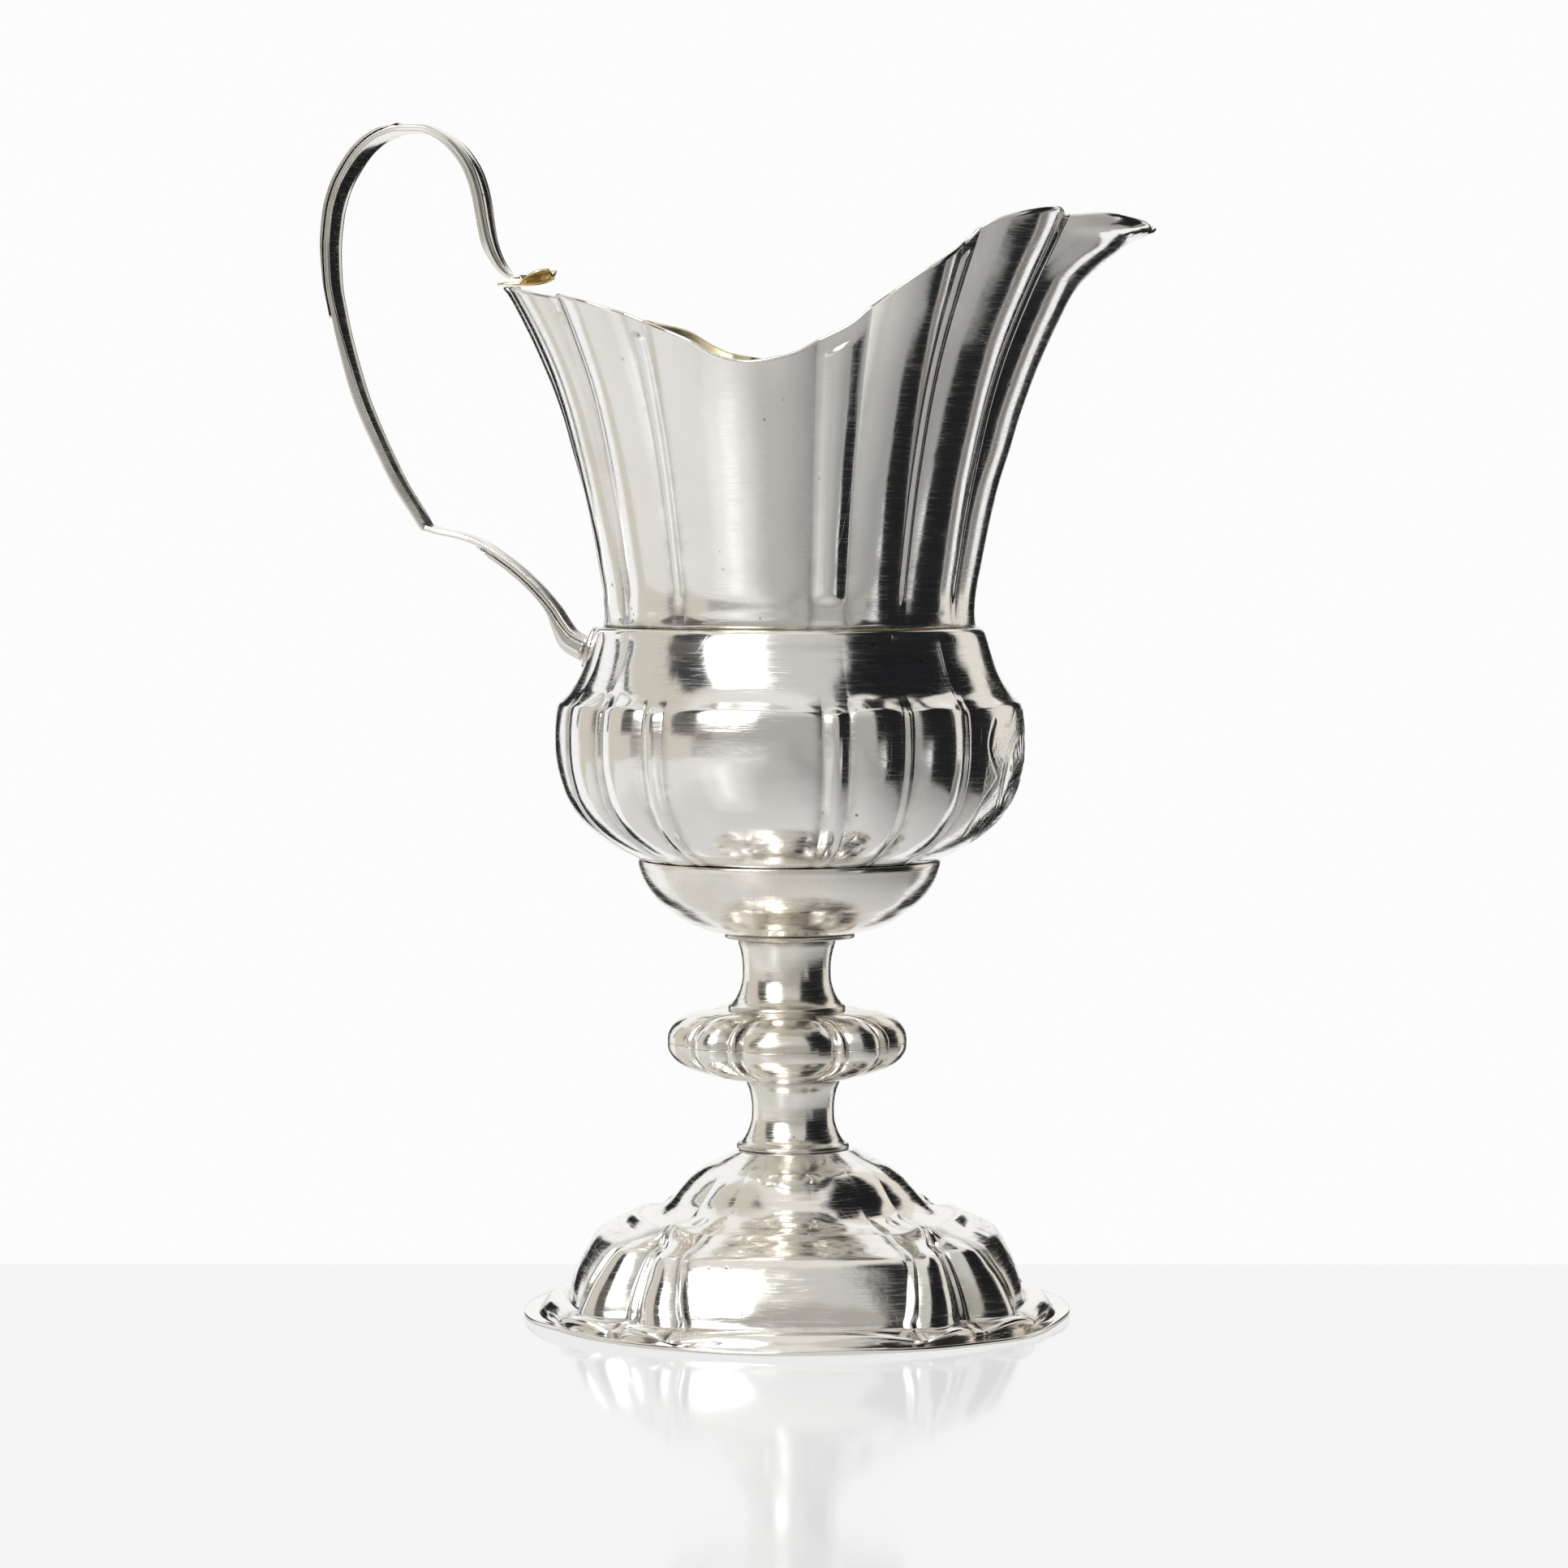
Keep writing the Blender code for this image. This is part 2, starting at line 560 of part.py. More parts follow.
for old in list(bpy.data.objects):
    bpy.data.objects.remove(old)

PITCHER = bpy.data.collections.new("silver_pitcher")
bpy.context.scene.collection.children.link(PITCHER)
CUTTERS = bpy.data.collections.new("cutters")
bpy.context.scene.collection.children.link(CUTTERS)

build_upper_body()
build_belly_bowl()
build_stem()
build_foot()
build_fastening()
build_handle()
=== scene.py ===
"""Looks of the silver helmet pitcher: fine raised shapes, silver and gilt, and a white studio.

Tables are in millimetres and degrees. Angles round the vessel start at -Y and turn towards the spout
at 90. The vessel and the handle stand on the axis of the calyx's CAD box, and each piece of the stem
and the foot on the axis of its own.
"""

import math

import bmesh
import bpy
import numpy as np
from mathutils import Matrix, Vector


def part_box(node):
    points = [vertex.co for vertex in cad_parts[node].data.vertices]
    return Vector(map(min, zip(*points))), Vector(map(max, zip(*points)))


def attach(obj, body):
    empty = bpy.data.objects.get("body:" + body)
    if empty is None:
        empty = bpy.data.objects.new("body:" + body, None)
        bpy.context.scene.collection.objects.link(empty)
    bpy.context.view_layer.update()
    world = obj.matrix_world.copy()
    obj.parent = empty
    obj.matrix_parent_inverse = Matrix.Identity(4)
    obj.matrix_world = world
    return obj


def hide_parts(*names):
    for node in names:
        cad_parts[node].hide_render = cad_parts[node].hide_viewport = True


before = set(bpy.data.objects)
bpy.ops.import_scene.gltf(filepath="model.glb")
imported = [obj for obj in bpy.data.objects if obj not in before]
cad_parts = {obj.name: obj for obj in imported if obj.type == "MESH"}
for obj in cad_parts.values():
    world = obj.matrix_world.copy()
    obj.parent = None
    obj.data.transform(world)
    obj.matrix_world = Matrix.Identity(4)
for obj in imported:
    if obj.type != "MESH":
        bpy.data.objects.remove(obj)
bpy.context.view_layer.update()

MM = 0.001

# ---------------------------------------------------------------- lobes
UPPER_RIBS = (24.0, 48.5, 73.0)
BELLY_RIBS = (23.3, 42.3, 61.1)
FOOT_RIBS = (27.0, 45.0, 63.0)
KNOP_CREASES = (25.5, 33.0, 57.0, 64.5)
STEM_TURN = 12.0
WIDE_LOBE = 30.0  # a lobe wider than this is flatter across its middle
WIDE_POWER = 2.9
LOBE_POWER = 2.1
COARSE_POWER = 3.0  # of the lobes that the shoulder shows
BELL_POWER = 2.0  # of the lobes on the foot's bell
FACET_BULGE = 0.2  # how much the narrow facets between wide ones swell
CREASE_REACH = 1.4  # degrees over which the grime beside a crease falls off
RIM_ROLL = 0.35  # how far a sheet's free edge is rounded over, as a share of its thickness
LEAST_COLUMNS = 8  # across one lobe
BODY_COLUMNS = 0.9  # columns in each degree round the vessel
ENGRAVED_COLUMNS = 2.6  # and in each degree of the engraved lobe
KNOP_COLUMNS = 1.1
FOOT_COLUMNS = 1.0
BEAD_STEPS = (-0.86, -0.66, -0.42, -0.2, 0.0, 0.2, 0.42, 0.66, 0.86)  # shares of its half width
BEAD_POWER = 1.6
SPOUT_ANGLE = 90.0

# ---------------------------------------------------------------- upper body
# (height, radius) of the lobes under the spout and the handle, and of the lines between lobes.
UPPER_CREST = (
    (161.2, 43.4), (163.5, 43.3), (166.9, 43.5), (170.7, 44.0), (174.4, 44.7), (178.2, 45.4),
    (185.8, 46.9), (193.4, 48.6), (200.9, 50.8), (208.5, 53.0), (216.1, 55.7), (223.6, 58.8),
    (231.2, 62.4), (238.8, 66.8), (242.5, 70.5), (246.3, 75.3), (250.0, 80.2), (251.4, 84.5), (254.8, 86.2),
)
UPPER_CREASE = (
    (161.2, 43.3), (164.0, 42.7), (166.9, 42.7), (178.0, 44.3), (193.0, 47.2), (208.0, 50.9),
    (220.0, 54.7), (229.0, 58.3), (236.0, 61.6), (239.0, 63.1), (247.0, 67.4), (252.0, 70.0), (255.0, 71.6),
)
# (height, how far the other lobes stand out).
UPPER_SIDE_LOBE = (
    (161.2, 0.0), (165.5, 0.9), (178.0, 1.2), (193.0, 1.5), (220.0, 2.4), (239.0, 3.7), (252.0, 4.3),
    (255.0, 4.7),
)
# (angle, height) of the rim, from the handle at -90 to the spout at 90, on the near and the far side.
NEAR_RIM = (
    (-90.0, 239.9), (-84.5, 239.7), (-74.0, 239.3), (-60.0, 238.2), (-49.5, 236.0), (-47.0, 235.7),
    (-44.0, 236.1), (-38.0, 235.2), (-31.0, 233.2), (-22.0, 229.6), (-10.5, 225.2), (-4.0, 221.6),
    (2.5, 220.4), (11.0, 221.6), (19.0, 225.2), (25.5, 228.6), (30.5, 233.4), (36.5, 238.8),
    (43.0, 243.6), (46.5, 246.0), (48.2, 247.6), (50.2, 250.4), (52.5, 252.1), (57.5, 253.9),
    (64.0, 254.8), (69.5, 254.3), (73.0, 253.9), (77.5, 254.5), (80.5, 253.8), (87.0, 252.2), (90.0, 251.3),
)
FAR_RIM = (
    (-90.0, 239.9), (-80.0, 239.2), (-68.0, 237.4), (-56.0, 234.9), (-46.0, 233.8), (-36.0, 232.0),
    (-30.0, 228.2), (-26.0, 226.2), (-18.5, 224.9), (-8.0, 221.7), (2.5, 219.9), (11.0, 221.0),
    (19.0, 224.4), (25.5, 227.9), (30.5, 232.9), (36.5, 238.4), (43.0, 243.2), (46.5, 245.8),
    (48.2, 247.4), (50.2, 250.2), (52.5, 252.0), (57.5, 253.8), (64.0, 254.6), (69.5, 254.0),
    (73.0, 253.7), (77.5, 254.3), (80.5, 253.7), (87.0, 252.1), (90.0, 251.3),
)
# Half widths of the beads at a quadrant's lines, on the spout's side and on the handle's side.
UPPER_RIB_HALVES = ((5.0, 1.2, 1.1), (1.9, 1.3, 1.2))
UPPER_RIB_RADIUS = 50.0  # where the half widths are measured
UPPER_RIB_HEIGHT = 1.1
UPPER_RIB_ENDS = (5.0, 2.6)  # the bead stops this far above the seam and below the rim
UPPER_RIB_FADES = (2.5, 2.0)  # and rises to its height within these lengths
UPPER_SHEET = 0.8
UPPER_ROWS = 110
ROW_POWER = 0.93  # draws the rows a little together towards the rim
# Unevenness of a raised sheet: (length of the waves, seed, height).
UPPER_WAVES = ((34.0, 3, 0.16), (13.0, 4, 0.035), (6.0, 14, 0.006))

# ---------------------------------------------------------------- belly bowl
# (height, crest radius, lobe depth, rib share, drop of the line between lobes)
BELLY_ROWS = (
    (160.9, 42.2, 0.0, 0.0, 0.0), (160.9, 43.9, 0.0, 0.0, 0.0), (160.7, 44.7, 0.02, 0.0, 0.0),
    (160.1, 45.3, 0.05, 0.0, 0.0), (158.9, 45.8, 0.05, 0.0, 0.0), (155.5, 46.8, 0.1, 0.0, 0.0),
    (151.7, 48.1, 0.1, 0.0, 0.0), (148.0, 49.9, 0.15, 0.0, 0.0), (145.4, 51.7, 0.45, 0.0, 0.2),
    (144.2, 52.9, 1.0, 0.0, 0.5), (143.6, 53.6, 1.15, 0.1, 0.8), (143.1, 53.95, 1.2, 0.45, 0.8),
    (142.2, 54.2, 1.25, 0.9, 0.6), (140.4, 54.5, 1.35, 1.0, 0.2), (136.6, 54.8, 1.4, 1.0, 0.0),
    (132.8, 54.75, 1.4, 1.0, 0.0), (129.0, 54.4, 1.4, 1.0, 0.0), (125.3, 53.6, 1.4, 1.0, 0.0),
    (121.5, 52.3, 1.35, 1.0, 0.0), (117.7, 50.1, 1.3, 1.0, 0.0), (113.9, 46.7, 1.15, 0.95, 0.0),
    (110.1, 41.4, 0.9, 0.8, 0.0), (108.0, 37.4, 0.6, 0.55, 0.0), (106.9, 35.1, 0.3, 0.25, 0.0),
    (105.6, 32.3, 0.1, 0.0, 0.0), (103.6, 28.0, 0.0, 0.0, 0.0), (101.5, 20.0, 0.0, 0.0, 0.0),
    (100.7, 10.0, 0.0, 0.0, 0.0), (100.5, 2.0, 0.0, 0.0, 0.0),
)
BELLY_BOTTOM = 100.4  # underside of the bowl
SHOULDER_CREASES = (42.3, 61.1)
SHOULDER_DEPTH = 0.9
BELLY_RIB_HALVES = ((3.3, 1.3, 1.3), (3.0, 1.3, 1.3))
BELLY_RADIUS = 54.0
BELLY_RIB_HEIGHT = 0.95
BELLY_SHEET = 0.9
BELLY_STEP = 0.55
BELLY_WAVES = ((30.0, 5, 0.15), (11.0, 6, 0.04), (5.0, 16, 0.007))
ENGRAVED_DEPTH = 0.2
ENGRAVED_HEIGHT = 127.0  # middle of the engraving
ENGRAVED_OVALS = ((13.0, 11.5), (11.7, 10.35))  # half widths and half heights of its double frame
ENGRAVED_FIELD = (20.0, 16.0)  # half width and half height of the hatched ground
ENGRAVED_LINE = 0.45  # width over which a cut fades
HATCH_SPACING = 5.2  # waves of the hatching, in radians to the millimetre
HATCH_SHARE = 0.45

# ---------------------------------------------------------------- calyx and stem, (radius, height)
CUP_PROFILE = (
    (33.8, 106.2), (34.6, 106.57), (35.0, 106.72), (35.25, 106.6), (35.25, 105.8), (34.95, 104.6),
    (34.6, 103.4), (33.9, 101.7), (32.1, 98.9), (30.2, 96.8), (27.8, 95.0), (25.0, 93.0),
    (22.1, 91.4), (18.5, 90.2), (15.0, 89.7), (8.0, 89.6), (1.5, 89.6),
)
CUP_SHEET = 0.9
COLLAR_PROFILE = (
    (3.6, 89.5), (14.6, 89.5), (15.1, 89.25), (15.2, 88.85), (15.1, 88.55), (14.6, 88.4), (3.6, 88.4),
)
UPPER_SPOOL = (
    (10.2, 88.3), (11.1, 88.3), (11.4, 88.1), (11.35, 87.3), (10.9, 85.6), (10.5, 83.6),
    (10.3, 81.2), (10.35, 79.0), (10.8, 76.8), (11.5, 75.0), (12.4, 73.6), (13.0, 73.0),
    (13.5, 72.6), (13.7, 72.1), (13.7, 71.6), (13.6, 71.3), (10.2, 71.3),
)
LOWER_SPOOL = (
    (9.2, 55.5), (10.8, 55.5), (11.05, 55.3), (10.85, 54.4), (10.25, 52.8), (9.8, 50.8),
    (9.6, 48.8), (9.65, 46.4), (10.2, 44.0), (11.1, 42.0), (12.1, 40.7), (12.6, 40.4),
    (12.95, 40.2), (13.15, 39.8), (13.15, 39.4), (13.1, 39.2), (9.2, 39.2),
)
COLLAR_BORE = 3.6
SPOOL_BORE = 8.2
# (height, crest radius, lobe depth)
KNOP_UPPER = (
    (71.2, 5.0, 0.0), (71.2, 12.0, 0.0), (71.2, 13.7, 0.0), (71.15, 14.8, 0.2), (71.1, 17.6, 0.8),
    (70.9, 20.6, 1.5), (70.0, 23.6, 2.1), (68.7, 25.9, 2.5), (67.0, 27.3, 2.7), (65.4, 27.9, 2.7),
    (63.95, 28.0, 2.7), (63.92, 28.0, 2.7),
)
KNOP_LOWER = (
    (63.88, 28.0, 2.7), (63.85, 28.0, 2.7), (62.6, 27.9, 2.7), (61.0, 27.2, 2.6), (59.4, 25.8, 2.3),
    (57.9, 23.3, 1.8), (56.6, 19.6, 1.1), (55.8, 15.6, 0.4), (55.6, 12.4, 0.0), (55.6, 5.0, 0.0),
)
KNOP_SEAM = 63.9
KNOP_NARROW = 12.0  # degrees; a lobe narrower than this stands back by its share
KNOP_NARROW_SHARE = 0.62
KNOP_DIP = 1.1  # how far the creases sink into the top and the underside
KNOP_SHEET = 0.9
KNOP_STEP = 0.5
KNOP_WAVES = ((12.0, 31, 0.06),)

# ---------------------------------------------------------------- foot
# (height, crest radius, lobe depth, rib share, drop between lobes, share of the fan)
FOOT_ROWS = (
    (39.1, 5.8, 0.0, 0.0, 0.0, 1.0), (39.1, 10.6, 0.0, 0.0, 0.0, 1.0), (39.1, 13.1, 0.0, 0.0, 0.0, 1.0),
    (38.75, 13.9, 0.1, 0.0, 0.0, 1.0), (38.0, 15.4, 0.2, 0.0, 0.0, 1.0), (36.8, 18.0, 0.5, 0.0, 0.0, 1.0),
    (35.2, 21.2, 0.8, 0.0, 0.0, 1.0), (33.0, 24.0, 1.2, 0.0, 0.0, 1.0), (30.2, 26.5, 1.6, 0.0, 0.0, 1.0),
    (27.4, 28.8, 1.9, 0.0, 0.0, 1.0),
    (25.3, 31.2, 2.1, 0.0, 0.0, 1.0), (23.9, 33.6, 2.2, 0.0, 0.0, 1.0), (23.1, 35.6, 2.2, 0.0, 0.0, 1.0),
    (22.9, 36.7, 2.2, 0.0, 0.1, 1.0), (23.15, 37.6, 2.1, 0.0, 0.2, 1.0), (23.3, 38.2, 2.0, 0.0, 0.3, 1.0),
    (23.0, 38.8, 2.1, 0.1, 0.4, 1.0), (22.1, 40.0, 2.3, 0.4, 0.6, 0.95), (21.3, 42.4, 2.4, 0.8, 0.7, 0.85),
    (20.4, 44.8, 2.5, 1.0, 0.5, 0.75), (20.0, 45.8, 2.5, 1.0, 0.5, 0.7), (19.5, 46.6, 2.5, 1.0, 0.4, 0.65),
    (18.2, 47.7, 2.5, 1.0, 0.2, 0.6), (16.0, 49.0, 2.5, 1.0, 0.0, 0.5), (13.2, 50.5, 2.5, 1.0, 0.0, 0.35),
    (10.2, 51.7, 2.4, 1.0, 0.0, 0.22), (7.4, 52.5, 2.3, 1.0, 0.0, 0.1), (5.4, 52.9, 2.2, 0.8, 0.0, 0.0),
    (4.6, 53.3, 2.1, 0.6, 0.0, 0.0), (4.5, 54.0, 2.0, 0.5, 0.2, 0.0), (4.9, 54.9, 1.9, 0.5, 0.9, 0.0),
    (5.1, 56.0, 1.9, 0.5, 1.7, 0.0), (4.7, 57.3, 1.8, 0.5, 2.0, 0.0), (3.5, 58.7, 1.7, 0.4, 1.7, 0.0),
    (1.9, 59.9, 1.3, 0.2, 0.8, 0.0), (1.1, 60.7, 0.8, 0.0, 0.1, 0.0), (0.95, 61.6, 0.2, 0.0, 0.0, 0.0),
    (0.95, 62.8, 0.0, 0.0, 0.0, 0.0), (0.95, 64.1, 0.0, 0.0, 0.0, 0.0),
)
# The narrow lobes draw together upwards: where each line of the skirt stands at the ledge.
FOOT_FAN = ((0.0, 27.0, 45.0, 63.0, 90.0), (0.0, 34.0, 45.0, 56.0, 90.0))
EAR_RADIUS = 38.9  # pinched fold at the ledge in the middle of each pair of narrow lobes
EAR_REACH = (3.6, 1.9)  # how far it stands out and up
EAR_WIDTH = 4.2
EAR_DEPTH = 3.2
PANEL_FLATNESS = 0.75  # how far a wide lobe of the skirt leans from a round plan to a straight one
CORNER_EASE = 0.55  # how much of that extra radius goes again at the corners
LEDGE_RISE = 0.9  # how far the ledge of a wide lobe is raised
LEDGE_RADIUS = 38.5
LEDGE_WIDTH = 6.0
FOOT_RIB_HALVES = ((1.3, 1.6, 1.3), (1.3, 1.6, 1.3))
FOOT_RIB_RADIUS = 50.0
FOOT_RIB_HEIGHT = 0.85
FOOT_SHEET = 0.85
FOOT_STEP = 0.5
FOOT_WAVES = ((20.0, 8, 0.22), (7.0, 9, 0.06))
# The flange's uneven edge and its lift: (size, waves round the foot, phase).
FLANGE_EDGE = ((0.22, 3, 0.6), (0.18, 7, 2.0), (0.12, 13, 1.0))
FLANGE_LIFT = ((0.3, 2, 2.4), (0.25, 5, 0.3), (0.12, 11, 0.0))
FLANGE_TRIM = 0.25
FLOOR_GAP = 0.02  # the sheet's inner face stays this far above the floor

# ---------------------------------------------------------------- handle: (x, z, width, thickness)
STRAP_PATH = (
    (-63.4, 242.6, 6.6, 1.2), (-66.0, 242.7, 7.0, 1.2), (-68.2, 244.1, 8.0, 1.4),
    (-70.2, 247.2, 9.0, 1.5), (-71.6, 251.0, 10.0, 1.6), (-72.6, 256.0, 11.0, 1.6),
    (-73.6, 262.0, 12.0, 1.6), (-75.2, 267.2, 12.4, 1.6), (-78.3, 272.1, 12.6, 1.6),
    (-82.6, 275.9, 12.8, 1.5), (-87.6, 277.9, 13.0, 1.4), (-92.8, 278.0, 13.0, 1.3),
    (-97.6, 276.6, 13.0, 1.2), (-102.0, 273.6, 13.0, 1.2), (-105.6, 269.2, 13.0, 1.2),
    (-108.5, 263.8, 12.8, 1.2), (-110.2, 257.6, 12.6, 1.2), (-110.9, 250.0, 12.4, 1.2),
    (-110.6, 242.0, 12.0, 1.2), (-109.2, 233.6, 11.4, 1.3), (-107.2, 225.2, 10.6, 1.6),
    (-104.7, 216.7, 10.2, 1.8), (-101.6, 208.8, 10.0, 1.8), (-98.0, 201.2, 9.8, 1.7),
    (-94.0, 193.6, 9.6, 1.7), (-89.2, 186.2, 9.4, 1.6), (-87.79, 184.02, 9.4, 1.5),
)
STRIP_GAP = 0.1  # between a strap and the strip laid on it
STRIP_WIDTH_SHARE = 0.94
STRIP_SPAN = (11, 19)  # first and last station of the strap under the strip
STRIP_THICK = 1.0
LOWER_PATH = (
    (-87.62, 183.95, 9.4, 1.5), (-84.0, 182.9, 9.2, 1.4), (-79.0, 181.9, 9.0, 1.3),
    (-74.2, 180.1, 8.8, 1.2), (-69.4, 177.0, 8.8, 1.1), (-64.2, 173.1, 8.6, 1.1),
    (-59.9, 169.1, 8.4, 1.1), (-56.1, 164.7, 8.2, 1.1), (-53.8, 161.2, 8.0, 1.1),
    (-52.1, 159.1, 7.8, 1.1), (-48.1, 157.1, 7.6, 1.2),
)
LOWER_STRIP_SPAN = (3, 10)
LOWER_STRIP_THICK = 0.95
LOWER_STRIP_END = 4.2  # its thickness at the shoulder
# How far the long edges of a strap's inner face turn inwards, as a share of its thickness.
EDGE_LIP = 0.7
THIN_END = 0.12  # share of its thickness that a strip keeps where it ends
# Normals in x and z of the planes where the straps meet each other and the shoulder.
MITRE_NORMAL = (0.847, -0.530)
SHOULDER_NORMAL = (0.957, -0.290)
# (x, z, half width, rise of the sides)
TONGUE = (
    (-69.6, 240.8, 2.6, 0.0), (-68.6, 240.8, 3.3, 0.0), (-66.5, 240.8, 3.7, 0.0), (-63.9, 240.8, 4.0, 0.05),
    (-62.6, 240.85, 4.3, 1.2), (-61.0, 240.95, 4.6, 2.3), (-59.4, 241.2, 4.7, 2.7),
    (-57.8, 241.7, 4.4, 2.5), (-56.8, 242.2, 3.9, 2.0),
)
TONGUE_THICK = 0.75
TONGUE_RIPPLE = 0.2
# (x, z, half width)
PLATE = (
    (-46.9, 160.7, 2.0), (-47.2, 159.9, 3.0), (-47.5, 159.0, 3.5), (-48.2, 156.0, 4.2),
    (-49.0, 153.4, 4.0), (-49.5, 152.1, 3.0), (-49.8, 151.4, 1.6),
)
PLATE_THICK = 0.85

# ---------------------------------------------------------------- metal
DARK_SHARE = 0.85  # how fully grime and pits take their dark colour
DULL_ROUGHNESS = 0.07
CRUST_ROUGHNESS = 0.25
SCRATCH_ROUGHNESS = 0.10
DIMPLE_HEIGHT = 0.5
SCRATCH_DEPTH = 0.10
PIT_DEPTH = 0.6
BUMP_DISTANCE = 0.00012
BUMP_STRENGTH = 0.55

# ---------------------------------------------------------------- camera and studio, millimetres
CAMERA_TURN = 12.0
CAMERA_DISTANCE = 1123.0
CAMERA_HEIGHT = 181.0
FOCAL_MM = 110.65
CAMERA_PITCH = 2.8922  # degrees it looks down
CAMERA_ASIDE = -0.0675  # degrees it looks past the axis, to its right
SENSOR_MM = 36.0
# The table: how far it reaches towards the back, right, front and left of the camera's view.
TABLE_BACK, TABLE_RIGHT, TABLE_FRONT, TABLE_LEFT = 76.0, 430.0, 1700.0, 900.0
# What the camera sees of the table.
TABLE_WHITE = (0.70, 0.703, 0.706, 1)
TABLE_GLOSS = (0.215, 0.215, 0.22, 1)
SPECK_GREY = (0.3, 0.3, 0.3, 1)
# What the silver mirrors of it is painted light and shade in the table's glow: lighter near the foot,
# dimmer further out, painted shade towards the right and painted light towards the left, each with
# the distances in metres between which it takes over.
PAINTED_LIGHT_NEAR = (0.67, 0.665, 0.65, 1)
PAINTED_LIGHT_FAR, FAR_SPAN = (0.475, 0.465, 0.445, 1), (0.07, 0.36)
PAINTED_SHADE_RIGHT, RIGHT_SPAN = (0.34, 0.34, 0.33, 1), (0.03, 0.27)
PAINTED_LIGHT_LEFT, LEFT_SPAN = (0.78, 0.77, 0.74, 1), (-0.05, -0.3)
MIRRORED_GLOSS = (0.028, 0.028, 0.028, 1)
# Painted shade: a black patch painted on the table at the right, where no card lies, seen only in the
# silver: its (from, to) azimuth and softness, and how far away it starts and is complete, in metres.
PAINTED_SHADE_BLACK = (0.014, 0.014, 0.015, 1)
PAINTED_SHADE_AZIMUTH = ((55.0, 112.0), 4.0)
PAINTED_SHADE_AWAY = (0.3, 0.345)
ROOM_WHITE = (0.97, 0.97, 0.97, 1)
BACKDROP = (0.975, 0.975, 0.975, 1)  # what the camera sees of the room
# Soft-edged parts of the room: (from, to) degrees round from the camera towards its right, (from,
# to) degrees up, softness in degrees, colour, strength. Later ones cover earlier ones.
ROOM = (
    ((-62, 50), (-90, 90), 14, (0.43, 0.415, 0.39), 1.0),
    ((-116, -60), (-90, 60), 5, (0.64, 0.60, 0.54), 1.0),
    ((-181, 181), (56, 91), 12, (0.80, 0.78, 0.74), 1.0),
    ((-20, 38), (24, 60), 8, (0.60, 0.59, 0.57), 1.0),
    ((112, 127), (-70, -6), 5, (0.22, 0.20, 0.18), 1.0),
    ((112, 144), (-6, 60), 4, (0.80, 0.76, 0.70), 1.0),
    ((57, 111), (-70, 0), 4, (0.014, 0.014, 0.015), 1.0),
    ((37, 111), (-4, 34), 5, (0.014, 0.014, 0.015), 1.0),
    ((37, 121), (22, 62), 6, (0.012, 0.012, 0.014), 1.0),
    ((142, 166), (-34, 26), 1.5, (0.012, 0.012, 0.012), 1.0),
    ((-165, -147), (-34, 26), 1.5, (0.012, 0.012, 0.012), 1.0),
    ((-125, -119), (2, 42), 1.0, (0.05, 0.05, 0.055), 1.0),
    ((-80, -54), (3, 34), 4, (0.12, 0.11, 0.10), 1.0),
    ((-80, -53), (27, 51), 4, (0.03, 0.033, 0.04), 1.0),
    ((-53, -39), (-3, 8), 1.0, (0.30, 0.27, 0.235), 1.0),
    ((-50, -18), (15, 53), 8, (1.0, 0.99, 0.97), 5.0),
    ((-38, -29), (15, 39), 6, (1.0, 1.0, 0.98), 14.0),
)


# ---------------------------------------------------------------- curves and sampling
def smooth(table, x):
    """Values of a table of (x, value) at x, on a curve that never overshoots its entries."""
    knots = np.array([row[0] for row in table], float)
    values = np.array([row[1] for row in table], float)
    order = np.argsort(knots, kind="stable")
    return smooth_at(knots[order], values[order], np.asarray(x, float))


def smooth_at(knots, values, x):
    """Monotone cubic through knots, evaluated at x."""
    width = np.diff(knots)
    slope = np.diff(values) / width
    tangent = np.zeros_like(values)
    tangent[0], tangent[-1] = slope[0], slope[-1]
    rising = slope[:-1] * slope[1:] > 0
    first = 2 * width[1:] + width[:-1]
    second = width[1:] + 2 * width[:-1]
    safe0 = np.where(rising, slope[:-1], 1.0)
    safe1 = np.where(rising, slope[1:], 1.0)
    mean = (first + second) / (first / safe0 + second / safe1)
    tangent[1:-1] = np.where(rising, mean, 0.0)
    x = np.clip(x, knots[0], knots[-1])
    i = np.clip(np.searchsorted(knots, x, side="right") - 1, 0, len(width) - 1)
    h = width[i]
    t = (x - knots[i]) / h
    return (
        (2 * t**3 - 3 * t**2 + 1) * values[i]
        + (t**3 - 2 * t**2 + t) * h * tangent[i]
        + (3 * t**2 - 2 * t**3) * values[i + 1]
        + (t**3 - t**2) * h * tangent[i + 1]
    )


def dense_rows(rows, step, first=0, second=1):
    """Rows resampled along their own line so that no stretch is longer than the step."""
    table = np.array(rows, float)
    length = np.hypot(np.diff(table[:, first]), np.diff(table[:, second]))
    along = np.concatenate([[0.0], np.cumsum(np.maximum(length, 1e-6))])
    samples = [0.0]
    for start, end in zip(along, along[1:]):
        pieces = max(1, math.ceil((end - start) / step))
        samples += [start + (end - start) * k / pieces for k in range(1, pieces + 1)]
    samples = np.array(samples)
    return np.stack([smooth_at(along, table[:, k], samples) for k in range(table.shape[1])], 1)


def fade(value, low, high):
    """Smooth step from 0 at low to 1 at high."""
    t = np.clip((value - low) / (high - low), 0.0, 1.0)
    return t * t * (3 - 2 * t)


def waves(points, length, seed, count=14):
    """Gentle irregularity of hand-raised metal, about -1 to 1, from a few crossed waves."""
    draw = np.random.default_rng(seed)
    total = np.zeros(points.shape[:-1])
    for _ in range(count):
        direction = draw.normal(size=3)
        direction /= np.linalg.norm(direction)
        span = length * draw.uniform(0.7, 1.6)
        phase = draw.uniform(0, math.tau)
        total += np.sin(points @ direction * (math.tau / span) + phase)
    return total / math.sqrt(count * 2)


def unevenness(points, table):
    """Sum of a table's waves at points, in millimetres."""
    return sum(waves(points, length, seed) * height for length, seed, height in table)


